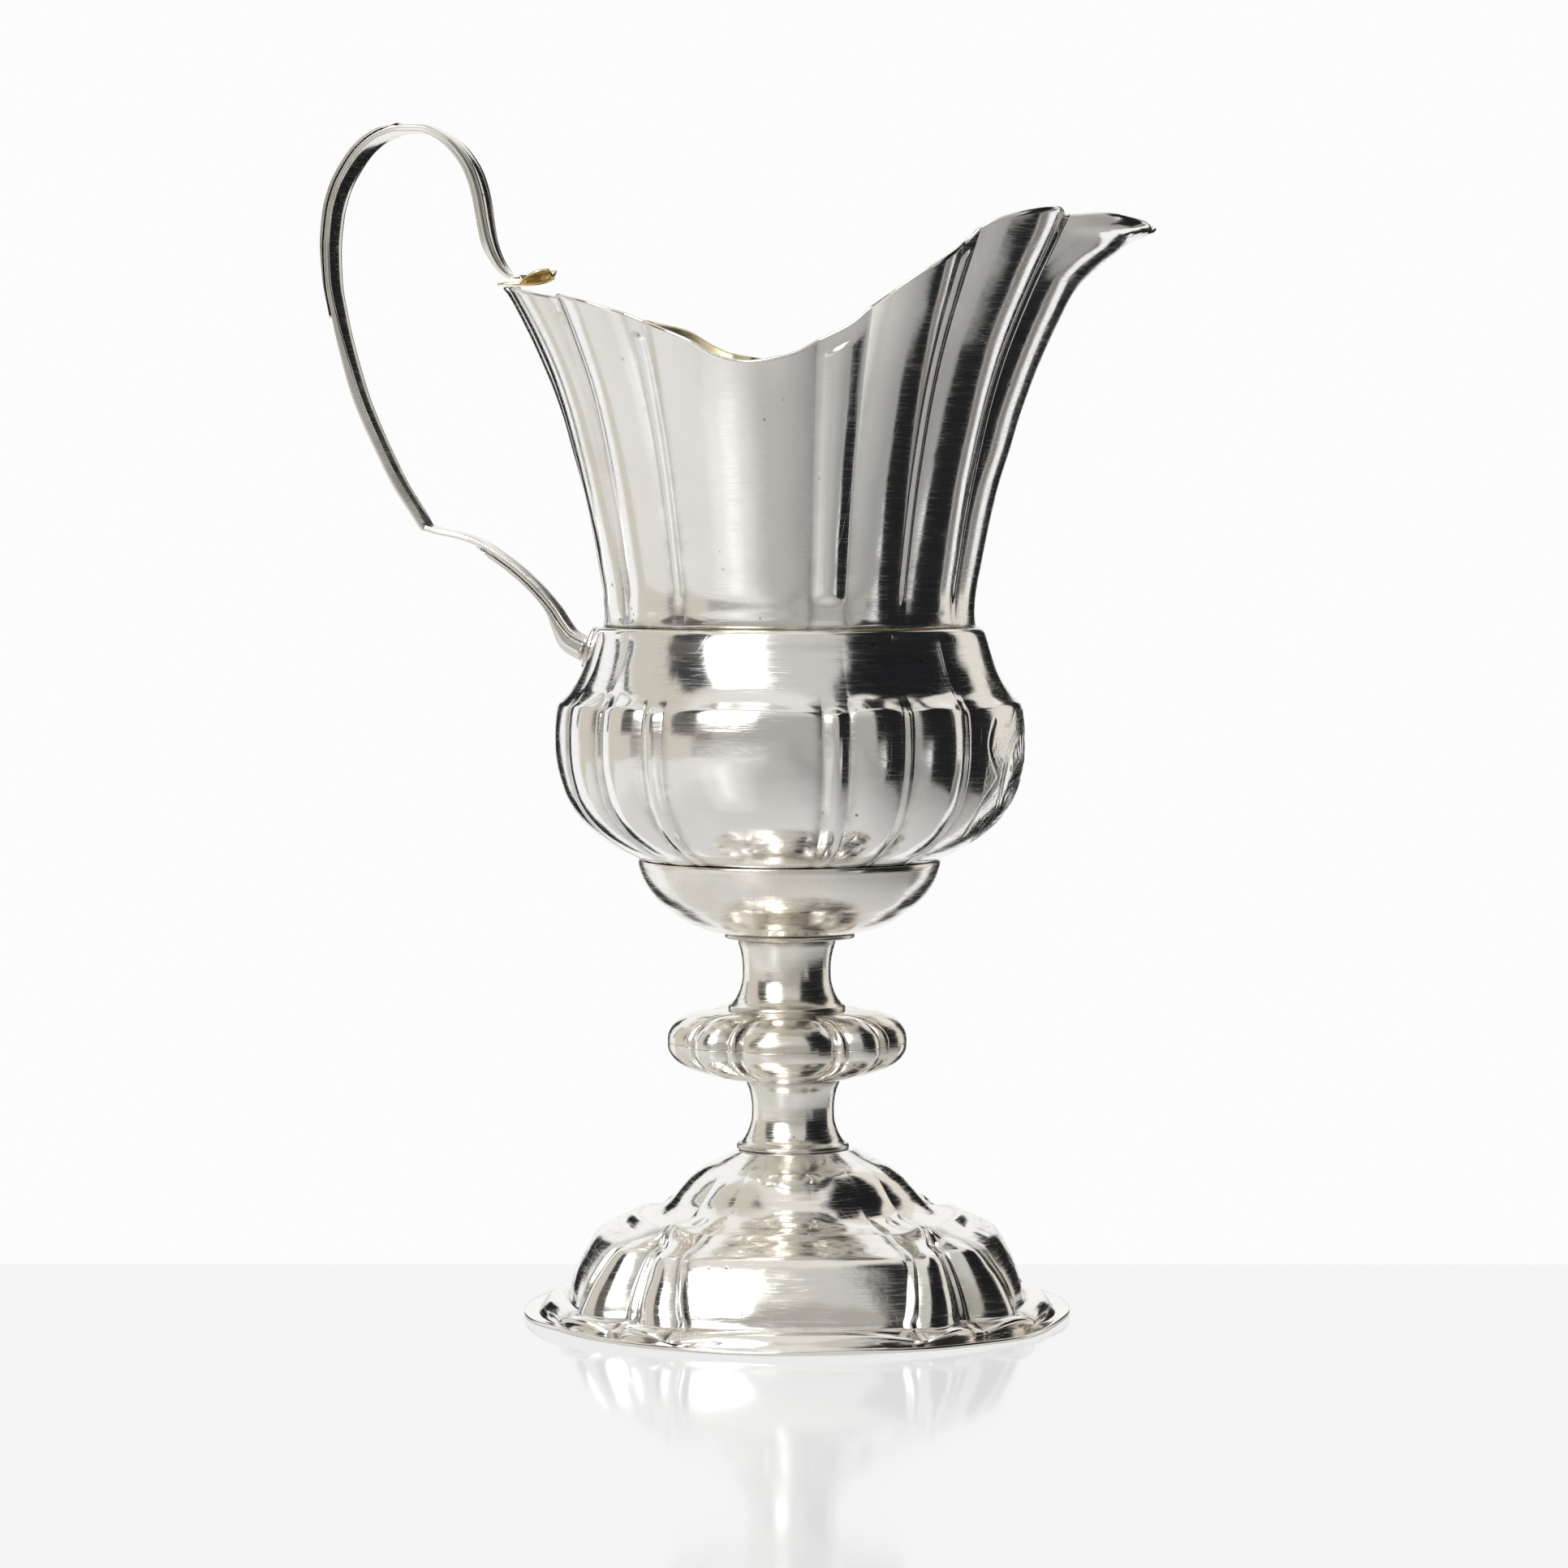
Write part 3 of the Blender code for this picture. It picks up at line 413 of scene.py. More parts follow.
# ---------------------------------------------------------------- lobed rings
def quadrant_bounds(quadrant):
    """Boundaries all round a ring whose quadrants mirror each other."""
    first = list(quadrant)
    second = [180.0 - angle for angle in reversed(quadrant)]
    return first + second + [180.0 + a for a in first] + [180.0 + a for a in second]


def ring_columns(quadrant, halves, per_degree, fine=None):
    """Columns round a lobed ring as arrays: angle, bulge, bead, distance to a crease, middle, width.

    halves are the half widths of the beads at a quadrant's lines, on the spout's side and on the
    handle's; fine is (middle of a lobe, columns per degree there).
    """
    bounds = quadrant_bounds(quadrant)
    halves = [half for side in halves for half in (*side, *reversed(side))]
    widest = max(halves)
    columns = []
    for index, start in enumerate(bounds):
        after = (index + 1) % len(bounds)
        end = bounds[after]
        end += 360.0 if end < start else 0.0
        middle = (start + end) / 2
        half = halves[index]
        width = end - start - half - halves[after]
        if half:
            for share in BEAD_STEPS:
                bead = math.sqrt(half / widest) * math.cos(share * math.pi / 2) ** BEAD_POWER
                columns.append((start + share * half, 0.0, bead, (1 - abs(share)) * half, middle, width))
        density = fine[1] if fine and abs(middle - fine[0]) < 1.0 else per_degree
        steps = max(LEAST_COLUMNS, round(width * density))
        power = WIDE_POWER if width > WIDE_LOBE else LOBE_POWER
        last = steps if half else steps - 1
        for step in range(last + 1):
            even = step / steps
            share = even if fine and density == fine[1] else (1 - math.cos(math.pi * even)) / 2
            bulge = 1.0 - abs(2 * share - 1) ** power
            reach = width * min(share, 1 - share)
            columns.append((start + half + width * share, bulge, 0.0, reach, middle, width))
    return np.array(columns).T


def coarse_bulge(angle, creases, power):
    """Bulge of lobes that span several narrow ones: wide round the four sides, nearly flat between."""
    first, second = creases
    odd = np.mod(np.floor(angle / 90.0), 2) == 1
    local = np.where(odd, 90.0 - np.mod(angle, 90.0), np.mod(angle, 90.0))
    middle = (first + second) / 2
    share = np.where(local < first, local / first, (90.0 - local) / (90.0 - second))
    facet = np.abs(local - middle) * 2 / (second - first)
    flat = (local >= first) & (local <= second)
    bulge = 1.0 - np.clip(share, 0.0, 1.0) ** power
    return np.where(flat, FACET_BULGE * (1.0 - np.clip(facet, 0.0, 1.0) ** 2), bulge)


def stacked(*axes):
    """Coordinates that broadcast together, as one array with a last axis for them."""
    return np.stack(np.broadcast_arrays(*axes), -1)


def ring_points(radius, angle, z):
    """Points at angles from -Y towards +X."""
    turn = np.radians(angle)
    return stacked(radius * np.sin(turn), -radius * np.cos(turn), z)


def grid_normals(points):
    """Outward normals of a grid whose rows run down the piece and whose columns go round it."""
    along = np.roll(points, -1, 1) - np.roll(points, 1, 1)
    down = np.empty_like(points)
    down[1:-1] = points[2:] - points[:-2]
    down[0] = points[1] - points[0]
    down[-1] = points[-1] - points[-2]
    normal = np.cross(down, along)
    size = np.linalg.norm(normal, axis=-1, keepdims=True)
    return normal / np.maximum(size, 1e-9)


def grid_faces(rows, count, start=0):
    """Quads of a grid of points, rows top to bottom, each row closed on itself."""
    i = np.arange(count)
    j = (i + 1) % count
    upper = (np.arange(rows - 1) * count)[:, None] + start
    quads = np.stack([upper + i, upper + count + i, upper + count + j, upper + j], -1)
    return quads.reshape(-1, 4)


def band_faces(first, second, count):
    """Quads between two closed rows of points that start at first and second."""
    i = np.arange(count)
    j = (i + 1) % count
    return np.stack([first + i, first + j, second + j, second + i], -1)


class Surface:
    """Points, faces and per-vertex grime gathered for one mesh, with a material for each face."""

    def __init__(self):
        self.points, self.faces, self.slots, self.grime = [], [], [], []
        self.count = 0

    def add_points(self, points, grime=0.0):
        """Adds points with one grime for all or one each, and gives the first one's number."""
        flat = np.asarray(points, float).reshape(-1, 3)
        start = self.count
        self.points.append(flat)
        self.grime.append(np.broadcast_to(np.asarray(grime, float).reshape(-1), (len(flat),)))
        self.count += len(flat)
        return start

    def add_faces(self, faces, slot=0):
        """Adds faces that use a material slot."""
        faces = [tuple(int(v) for v in face) for face in faces]
        self.faces += faces
        self.slots += [slot] * len(faces)

    def add_grid(self, points, slot=0, grime=0.0):
        """Adds rows of points, each row closed on itself, and gives the first one's number."""
        rows, count = points.shape[:2]
        start = self.add_points(points, grime)
        self.add_faces(grid_faces(rows, count, start), slot)
        return start

    def add_ring(self, points, grime):
        """A grid whose last row meets its first."""
        rows, count = points.shape[:2]
        start = self.add_points(points, grime)
        self.add_faces(start + grid_faces(rows + 1, count) % (rows * count))

    def add_bar(self, points, grime):
        """A grid of closed sections from end to end of a bar, with both ends filled."""
        rows, count = points.shape[:2]
        start = self.add_grid(points, grime=grime)
        self.add_fan(start, count, points[0].mean(0))
        self.add_fan(start + (rows - 1) * count, count, points[-1].mean(0), flip=True)

    def add_fan(self, ring_start, count, centre, slot=0, flip=False):
        """Fills a closed row of points with triangles that meet at its centre."""
        pole = self.add_points([centre])
        for i in range(count):
            a, b = ring_start + i, ring_start + (i + 1) % count
            self.add_faces([(b, a, pole) if flip else (a, b, pole)], slot)

    def make(self, node, materials, name=None):
        """Mesh object in the frame, riding on the root body in place of its CAD node."""
        name = name or f"{node}_skin"
        mesh = bpy.data.meshes.new(name)
        points = np.concatenate(self.points) * MM
        mesh.from_pydata(points.tolist(), [], self.faces)
        attribute = mesh.attributes.new("grime", "FLOAT", "POINT")
        attribute.data.foreach_set("value", np.concatenate(self.grime).astype(np.float32))
        mesh.polygons.foreach_set("material_index", self.slots)
        mesh.polygons.foreach_set("use_smooth", [True] * len(self.faces))
        for material in materials:
            mesh.materials.append(material)
        mesh.update()
        obj = bpy.data.objects.new(name, mesh)
        bpy.context.scene.collection.objects.link(obj)
        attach(obj, "root")
        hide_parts(node)
        return obj


def add_sheet(surface, outer, thickness, grime, slots=(0, 1, 1), closed=False):
    """Outer face, rolled rim and inner face of a sheet whose first row is its free edge."""
    inner = outer - grid_normals(outer) * thickness
    up = outer[0] - outer[1]
    up /= np.maximum(np.linalg.norm(up, axis=-1, keepdims=True), 1e-9)
    middle = (outer[0] + inner[0]) / 2 + up * thickness * RIM_ROLL
    rows, count = outer.shape[:2]
    outer_start = surface.add_grid(outer, slots[0], grime)
    rim_start = surface.add_points(middle, grime[0])
    inner_start = surface.add_points(inner, grime)
    surface.add_faces(band_faces(outer_start, rim_start, count), slots[1])
    surface.add_faces(band_faces(rim_start, inner_start, count), slots[1])
    surface.add_faces(grid_faces(rows, count, inner_start)[:, ::-1], slots[2])
    last = (rows - 1) * count
    if closed:
        centre = outer[-1].mean(0)
        surface.add_fan(outer_start + last, count, centre, slots[0], flip=True)
        surface.add_fan(inner_start + last, count, centre + [0, 0, thickness], slots[2])
    else:
        surface.add_faces(band_faces(inner_start + last, outer_start + last, count), slots[1])


def node_centre(node):
    """Middle of the CAD node's box across x and y, in millimetres."""
    low, high = (np.array(corner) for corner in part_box(node))
    middle = (low + high) / 2 / MM
    return np.array([middle[0], middle[1], 0.0])


def node_lift(node, lowest):
    """How far a table of heights has to rise for its lowest entry to meet the CAD node's underside."""
    return np.array([0.0, 0.0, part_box(node)[0].z / MM - lowest])


# ---------------------------------------------------------------- materials
class Nodes:
    """Short way to add linked shader nodes."""

    def __init__(self, tree):
        self.tree = tree

    def add(self, kind, inputs=None, **settings):
        node = self.tree.nodes.new(kind)
        for key, value in settings.items():
            setattr(node, key, value)
        for key, value in (inputs or {}).items():
            if isinstance(value, bpy.types.NodeSocket):
                self.tree.links.new(value, node.inputs[key])
            else:
                node.inputs[key].default_value = value
        return node

    def math(self, operation, a, b=0.5, clamp=False):
        node = self.add("ShaderNodeMath", {0: a, 1: b}, operation=operation, use_clamp=clamp)
        return node.outputs[0]

    def mix(self, factor, a, b):
        node = self.add("ShaderNodeMix", {0: factor, 6: a, 7: b}, data_type="RGBA")
        return node.outputs[2]

    def ramp(self, value, low, high):
        node = self.add("ShaderNodeMapRange", {0: value, 1: low, 2: high, 3: 0.0, 4: 1.0})
        node.clamp = True
        return node.outputs[0]

    def dot(self, vector, direction):
        settings = {0: vector, 1: tuple(direction)}
        return self.add("ShaderNodeVectorMath", settings, operation="DOT_PRODUCT").outputs["Value"]

    def noise(self, vector, scale, detail=2.0, roughness=0.5, distortion=0.0):
        inputs = {"Vector": vector, "Scale": scale, "Detail": detail}
        inputs.update({"Roughness": roughness, "Distortion": distortion})
        return self.add("ShaderNodeTexNoise", inputs).outputs[0]

    def stretched(self, vector, rotation, scale):
        return self.add("ShaderNodeMapping", {0: vector, 2: rotation, 3: scale}).outputs[0]


def hairlines(nodes, place, rotation, stretch, scale, width):
    """Thin scratches: the level line of a noise drawn out in one direction."""
    drawn = nodes.noise(nodes.stretched(place, rotation, stretch), scale, 1.0)
    distance = nodes.math("ABSOLUTE", nodes.math("SUBTRACT", drawn, 0.5))
    return nodes.math("SUBTRACT", 1.0, nodes.ramp(distance, 0.0, width))


def metal(name, tone, stain, dark, roughness, wear=1.0, bump=1.0, stain_share=0.5, turned=0.03):
    """Polished precious metal with stains, pits, hairline scratches and dull patches.

    tone, stain and dark are its colours: clean, stained and in the grime of creases and pits.
    wear, bump, stain_share and turned are the strength of its dull patches, dimples, stains and
    turning marks.
    """
    material = bpy.data.materials.new(name)
    material.use_nodes = True
    nodes = Nodes(material.node_tree)
    tone, stain, dark = ((*colour, 1) for colour in (tone, stain, dark))
    place = nodes.add("ShaderNodeTexCoord").outputs["Object"]
    grime = nodes.add("ShaderNodeAttribute", attribute_name="grime").outputs["Fac"]
    clouds = nodes.noise(place, 38.0, 4.0, 0.6, 0.4)
    blotch = nodes.noise(place, 130.0, 3.0, 0.65, 0.8)
    pits = nodes.add("ShaderNodeTexVoronoi", {"Vector": place, "Scale": 260.0}).outputs["Distance"]
    pit_place = nodes.ramp(nodes.noise(place, 55.0, 1.0), 0.62, 0.7)
    pit = nodes.math("MULTIPLY", nodes.math("SUBTRACT", 1.0, nodes.ramp(pits, 0.05, 0.13)), pit_place)
    lines_a = hairlines(nodes, place, (0.3, 0.2, 0.5), (1.0, 1.0, 9.0), 90.0, 0.012)
    lines_b = hairlines(nodes, place, (1.1, 0.4, 0.2), (1.0, 8.0, 1.0), 70.0, 0.010)
    lines_c = hairlines(nodes, place, (0.0, 0.0, 0.0), (1.0, 1.0, 26.0), 60.0, 0.05)
    worn = nodes.ramp(nodes.noise(place, 60.0, 2.0), 0.42, 0.7)
    scratches = nodes.math("MULTIPLY", nodes.math("MAXIMUM", lines_a, lines_b), worn)
    stained = nodes.math("MULTIPLY", nodes.ramp(clouds, 0.45, 0.75), stain_share)
    colour = nodes.mix(stained, tone, stain)
    crust = nodes.math("MULTIPLY", grime, nodes.ramp(blotch, 0.25, 0.75), clamp=True)
    colour = nodes.mix(nodes.math("MULTIPLY", crust, DARK_SHARE), colour, dark)
    colour = nodes.mix(nodes.math("MULTIPLY", pit, DARK_SHARE), colour, dark)
    dull = nodes.math("MULTIPLY", nodes.ramp(clouds, 0.3, 0.8), DULL_ROUGHNESS * wear)
    rough = nodes.math("ADD", roughness, dull)
    rough = nodes.math("ADD", rough, nodes.math("MULTIPLY", crust, CRUST_ROUGHNESS))
    rubbed = nodes.math("MULTIPLY", nodes.math("ADD", scratches, lines_c), SCRATCH_ROUGHNESS * wear)
    rough = nodes.math("ADD", rough, rubbed)
    brushed = nodes.noise(nodes.stretched(place, (0, 0, 0), (1.0, 1.0, 30.0)), 110.0, 2.0)
    dimples = nodes.noise(place, 210.0, 2.0, 0.55)
    height = nodes.math("MULTIPLY", dimples, DIMPLE_HEIGHT * bump)
    height = nodes.math("ADD", height, nodes.math("MULTIPLY", brushed, turned))
    height = nodes.math("SUBTRACT", height, nodes.math("MULTIPLY", scratches, SCRATCH_DEPTH * bump))
    height = nodes.math("SUBTRACT", height, nodes.math("MULTIPLY", pit, PIT_DEPTH))
    relief = {"Height": height, "Distance": BUMP_DISTANCE, "Strength": BUMP_STRENGTH}
    normal = nodes.add("ShaderNodeBump", relief).outputs[0]
    shader = material.node_tree.nodes["Principled BSDF"]
    for value, socket in ((colour, "Base Color"), (rough, "Roughness"), (normal, "Normal")):
        material.node_tree.links.new(value, shader.inputs[socket])
    shader.inputs["Metallic"].default_value = 1.0
    return material


SILVER = metal(
    "silver_body", tone=(0.93, 0.922, 0.905), stain=(0.86, 0.83, 0.77), dark=(0.16, 0.14, 0.12),
    roughness=0.09,
)
SILVER_STEM = metal(
    "silver_stem", tone=(0.92, 0.9, 0.86), stain=(0.8, 0.74, 0.63), dark=(0.16, 0.13, 0.1),
    roughness=0.13, wear=1.2, stain_share=0.8, turned=0.3,
)
SILVER_FOOT = metal(
    "silver_foot", tone=(0.93, 0.915, 0.885), stain=(0.83, 0.78, 0.68), dark=(0.14, 0.12, 0.1),
    roughness=0.09, wear=1.2, bump=1.2, stain_share=0.6, turned=0.06,
)
SILVER_HANDLE = metal(
    "silver_handle", tone=(0.88, 0.87, 0.84), stain=(0.72, 0.68, 0.6), dark=(0.085, 0.075, 0.065),
    roughness=0.07, wear=0.7, bump=0.15, turned=0.0,
)
GILT = metal(
    "gilt", tone=(0.93, 0.82, 0.57), stain=(0.76, 0.6, 0.35), dark=(0.16, 0.11, 0.05),
    roughness=0.08, wear=0.7, bump=0.15, stain_share=0.6, turned=0.0,
)
GILT_INSIDE = metal(
    "gilt_inside", tone=(0.86, 0.76, 0.5), stain=(0.66, 0.6, 0.42), dark=(0.2, 0.16, 0.08),
    roughness=0.24, wear=1.4,
)
PLAIN_METAL = metal(
    "plain_metal", tone=(0.6, 0.58, 0.55), stain=(0.45, 0.38, 0.3), dark=(0.12, 0.1, 0.08),
    roughness=0.42, wear=2.0, bump=2.0,
)


# ---------------------------------------------------------------- vessel
def hump(distance, width):
    """1 at no distance, falling off smoothly over the width."""
    return np.exp(-((distance / width) ** 2))


def rim_height(angle):
    """Height of the rim, from its own table on each side of the plane through spout and handle."""
    folded = (angle + 90.0) % 360.0 - 90.0
    near = folded <= 90.0
    mirrored = np.where(near, folded, 180.0 - folded)
    return np.where(near, smooth(NEAR_RIM, mirrored), smooth(FAR_RIM, mirrored))


def build_upper_body():
    """Helmet with twelve lobes and beads between them, drawn up into the spout."""
    halves = np.degrees(np.array(UPPER_RIB_HALVES) / UPPER_RIB_RADIUS)
    angle, bulge, bead, distance, middle, _ = ring_columns(UPPER_RIBS, halves, BODY_COLUMNS)
    low = UPPER_CREST[0][0]
    top = rim_height(angle)[None, :]
    level = np.linspace(1.0, 0.0, UPPER_ROWS)[:, None] ** ROW_POWER
    z = low + level * (top - low)
    crease = smooth(UPPER_CREASE, z)
    swell = np.maximum(smooth(UPPER_CREST, z) - crease, 0.0)
    on_axis = (np.abs(middle % 180.0 - SPOUT_ANGLE) < 1.0)[None, :]
    height = np.where(on_axis, swell, smooth(UPPER_SIDE_LOBE, z))
    ends = 1.0
    for gap, end, reach in zip((z - low, top - z), UPPER_RIB_ENDS, UPPER_RIB_FADES):
        ends = ends * fade(gap, end, end + reach)
    radius = crease + bulge * height + UPPER_RIB_HEIGHT * bead * ends
    points = ring_points(radius, angle[None, :], z)
    wobble = unevenness(points, UPPER_WAVES) * fade(z, low, low + 6.0)
    points += grid_normals(points) * wobble[..., None]
    grime = hump(distance, CREASE_REACH)[None, :] * (0.25 + 0.5 * fade(z, low + 30.0, low))
    grime = np.maximum(grime, 0.9 * fade(z, low + 1.6, low))
    surface = Surface()
    shift = node_centre("base_cup") + node_lift("upper_body", low)
    add_sheet(surface, points + shift, UPPER_SHEET, grime, slots=(0, 0, 1))
    surface.make("upper_body", (SILVER, GILT_INSIDE))


def engraved_lines():
    """Points along the lines of the engraving, from its middle: frame, corner scrolls and leaves."""
    curves = []
    turn = np.linspace(0, math.tau, 160)
    for half_width, half_height in ENGRAVED_OVALS:
        curves.append(stacked(half_width * np.cos(turn), half_height * np.sin(turn)))
    grow = np.linspace(0.25, 1.0, 90)
    swirl = grow * 3.1 * math.pi
    scroll = (4.6 + 3.6 * grow * np.cos(swirl), 4.2 + 3.4 * grow * np.sin(swirl))
    stem = np.linspace(0, 1, 60)
    upright = (14.5 + 5.0 * np.sin(stem * 2.6), stem * 13.0)
    level = (stem * 12.0, 13.5 + 1.8 * np.sin(stem * 5.0))
    for side in (-1, 1):
        for end in (-1, 1):
            curves += [stacked(side * across, end * up) for across, up in (scroll, upright, level)]
    leaf = np.linspace(0, 1, 40)
    for lean in 0.36 * np.arange(-4, 5):
        curves.append(stacked(np.sin(lean) * leaf * 8.5, 0.8 + np.cos(lean) * leaf * 8.5))
        curves.append(stacked(np.sin(lean) * leaf * 7.5, -0.8 - np.cos(lean) * leaf * 7.5))
    return np.concatenate(curves)


def engraving(across, up):
    """Depth share of a leaf scroll in an oval frame, from places in millimetres on the lobe."""
    place = stacked(across, up).reshape(-1, 2)
    nearest = np.full(len(place), 99.0)
    for chunk in np.array_split(engraved_lines(), 24):
        gap = np.linalg.norm(place[:, None, :] - chunk[None, :, :], axis=-1).min(1)
        nearest = np.minimum(nearest, gap)
    cut = np.clip(1.2 - nearest / ENGRAVED_LINE, 0.0, 1.0)
    hatch = (np.sin(place[:, 0] * HATCH_SPACING + place[:, 1] * HATCH_SPACING) > 0.3) * HATCH_SHARE
    in_field = np.hypot(*(place / ENGRAVED_FIELD).T) < 1.0
    past_frame = np.hypot(*(place / ENGRAVED_OVALS[0]).T) > 1.0
    return np.maximum(cut, hatch * (in_field & past_frame)).reshape(across.shape)


def build_belly_bowl():
    """Shoulder and belly in one bowl, beaded between its lobes, engraved under the spout."""
    halves = np.degrees(np.array(BELLY_RIB_HALVES) / BELLY_RADIUS)
    fine = (SPOUT_ANGLE, ENGRAVED_COLUMNS)
    angle, bulge, bead, distance, middle, _ = ring_columns(BELLY_RIBS, halves, BODY_COLUMNS, fine)
    rows = dense_rows(BELLY_ROWS, BELLY_STEP)
    z0, crest, depth, rib, drop = (rows[:, k : k + 1] for k in range(5))
    z = z0 - drop * (1 - bulge) * (1 - 0.5 * bead)
    radius = crest - depth * (1 - bulge) + BELLY_RIB_HEIGHT * rib * bead
    shoulder = fade(z0, 143.6, 147.0) * fade(z0, 160.9, 158.0)
    coarse = coarse_bulge(angle, SHOULDER_CREASES, COARSE_POWER)[None, :]
    radius = radius - SHOULDER_DEPTH * shoulder * (1 - coarse)
    points = ring_points(radius, angle[None, :], z)
    firm = fade(points[..., 2], 101.0, 110.0) * fade(points[..., 2], 161.0, 157.0)
    across = np.radians(angle - SPOUT_ANGLE)[None, :] * BELLY_RADIUS + 0 * z
    on_lobe = (np.abs(middle - SPOUT_ANGLE) < 1.0)[None, :] * fade(z, 108.0, 113.0) * fade(z, 143.0, 141.0)
    cut = engraving(across, z - ENGRAVED_HEIGHT) * on_lobe
    wobble = unevenness(points, BELLY_WAVES) * firm - cut * ENGRAVED_DEPTH
    points += grid_normals(points) * wobble[..., None]
    grime = hump(distance, CREASE_REACH)[None, :] * 0.55 * fade(z, 146.0, 142.0)
    grime = np.maximum(np.maximum(grime, cut), 0.95 * fade(z0, 160.6, 160.85))
    surface = Surface()
    shift = node_centre("base_cup") + node_lift("belly_bowl", BELLY_BOTTOM)
    add_sheet(surface, points + shift, BELLY_SHEET, grime, closed=True)
    surface.make("belly_bowl", (SILVER, GILT_INSIDE))


# ---------------------------------------------------------------- calyx, stem and knop
def turned_grid(profile, step, columns):
    """Grid of a surface turned from a profile of (radius, height)."""
    rows = dense_rows(profile, step)
    angle = np.arange(columns)[None, :] * 360.0 / columns
    return ring_points(rows[:, 0:1], angle, rows[:, 1:2])


def handmade(points, seed, size, length):
    """Moves a grid a little off its true shape, along its normals."""
    wobble = unevenness(points, ((length, seed, size), (length / 3, seed + 50, size * 0.25)))
    return points + grid_normals(points) * wobble[..., None]


def build_cup():
    """Plain calyx with a crisp upper edge."""
    points = handmade(turned_grid(CUP_PROFILE, 0.6, 160), 21, 0.09, 22.0)
    grime = 0.5 * fade(points[..., 2], 90.6, 89.8)
    surface = Surface()
    shift = node_centre("base_cup") + node_lift("base_cup", CUP_PROFILE[-1][1])
    add_sheet(surface, points + shift, CUP_SHEET, grime, slots=(0, 0, 0), closed=True)
    surface.make("base_cup", (SILVER_STEM,))


def build_ring(node, profile, bore, seed, grime_heights):
    """Turned ring or tube: its outside from the profile, its bore straight."""
    outer = handmade(turned_grid(profile, 0.45, 128), seed, 0.035, 14.0)
    heights = np.linspace(profile[-1][1], profile[0][1], 6)
    inside = turned_grid([(bore, z) for z in heights], 4.0, 128)
    points = np.concatenate([outer, inside])
    grime = np.max([0.8 * hump(points[..., 2] - height, 0.8) for height in grime_heights], 0)
    surface = Surface()
    shift = node_centre(node) + node_lift(node, min(row[1] for row in profile))
    surface.add_ring(points + shift, grime)
    surface.make(node, (SILVER_STEM,))


def build_knop_half(node, table, side, name):
    """One lobed half of the knop; side is 1 above the seam and -1 under it."""
    angle, bulge, _, distance, _, width = ring_columns(KNOP_CREASES, np.zeros((2, 4)), KNOP_COLUMNS)
    hollow = 1 - bulge * np.where(width < KNOP_NARROW, KNOP_NARROW_SHARE, 1.0)
    rows = dense_rows(table, KNOP_STEP)
    z0, crest, depth = (rows[:, k : k + 1] for k in range(3))
    from_seam = np.abs(z0 - KNOP_SEAM)
    sunk = fade(from_seam, 1.5, 5.5) * fade(crest, 13.0, 20.0)
    z = z0 - side * KNOP_DIP * sunk * hollow
    points = ring_points(crest - depth * hollow, angle[None, :] + STEM_TURN, z)
    wobble = unevenness(points, KNOP_WAVES) * fade(from_seam, 0.3, 2.0)
    points += grid_normals(points) * wobble[..., None]
    grime = hump(distance, CREASE_REACH)[None, :] * 0.6 * np.clip(depth, 0, 1)
    grime = np.maximum(grime, 0.12 * hump(from_seam, 0.35))
    surface = Surface()
    shift = node_centre(node) + node_lift(node, min(row[0] for row in table))
    add_sheet(surface, points + shift, KNOP_SHEET, grime, slots=(0, 0, 0))
    surface.make(node, (SILVER_STEM,), name)


# ---------------------------------------------------------------- foot
def fanned(angle, share):
    """Angles moved by a share of the foot's fan, alike in every quadrant."""
    local = np.mod(angle, 90.0)
    return angle + share * (np.interp(local, *FOOT_FAN) - local)


def flattened(across):
    """Extra radius that straightens a plan near the middle of a side, easing off at the corners."""
    limit = math.radians(FOOT_RIBS[0] + 2.0)
    eased = 1 - CORNER_EASE * fade(across, limit, math.radians(45.0))
    return (1 / np.cos(np.minimum(across, limit)) - 1) * eased


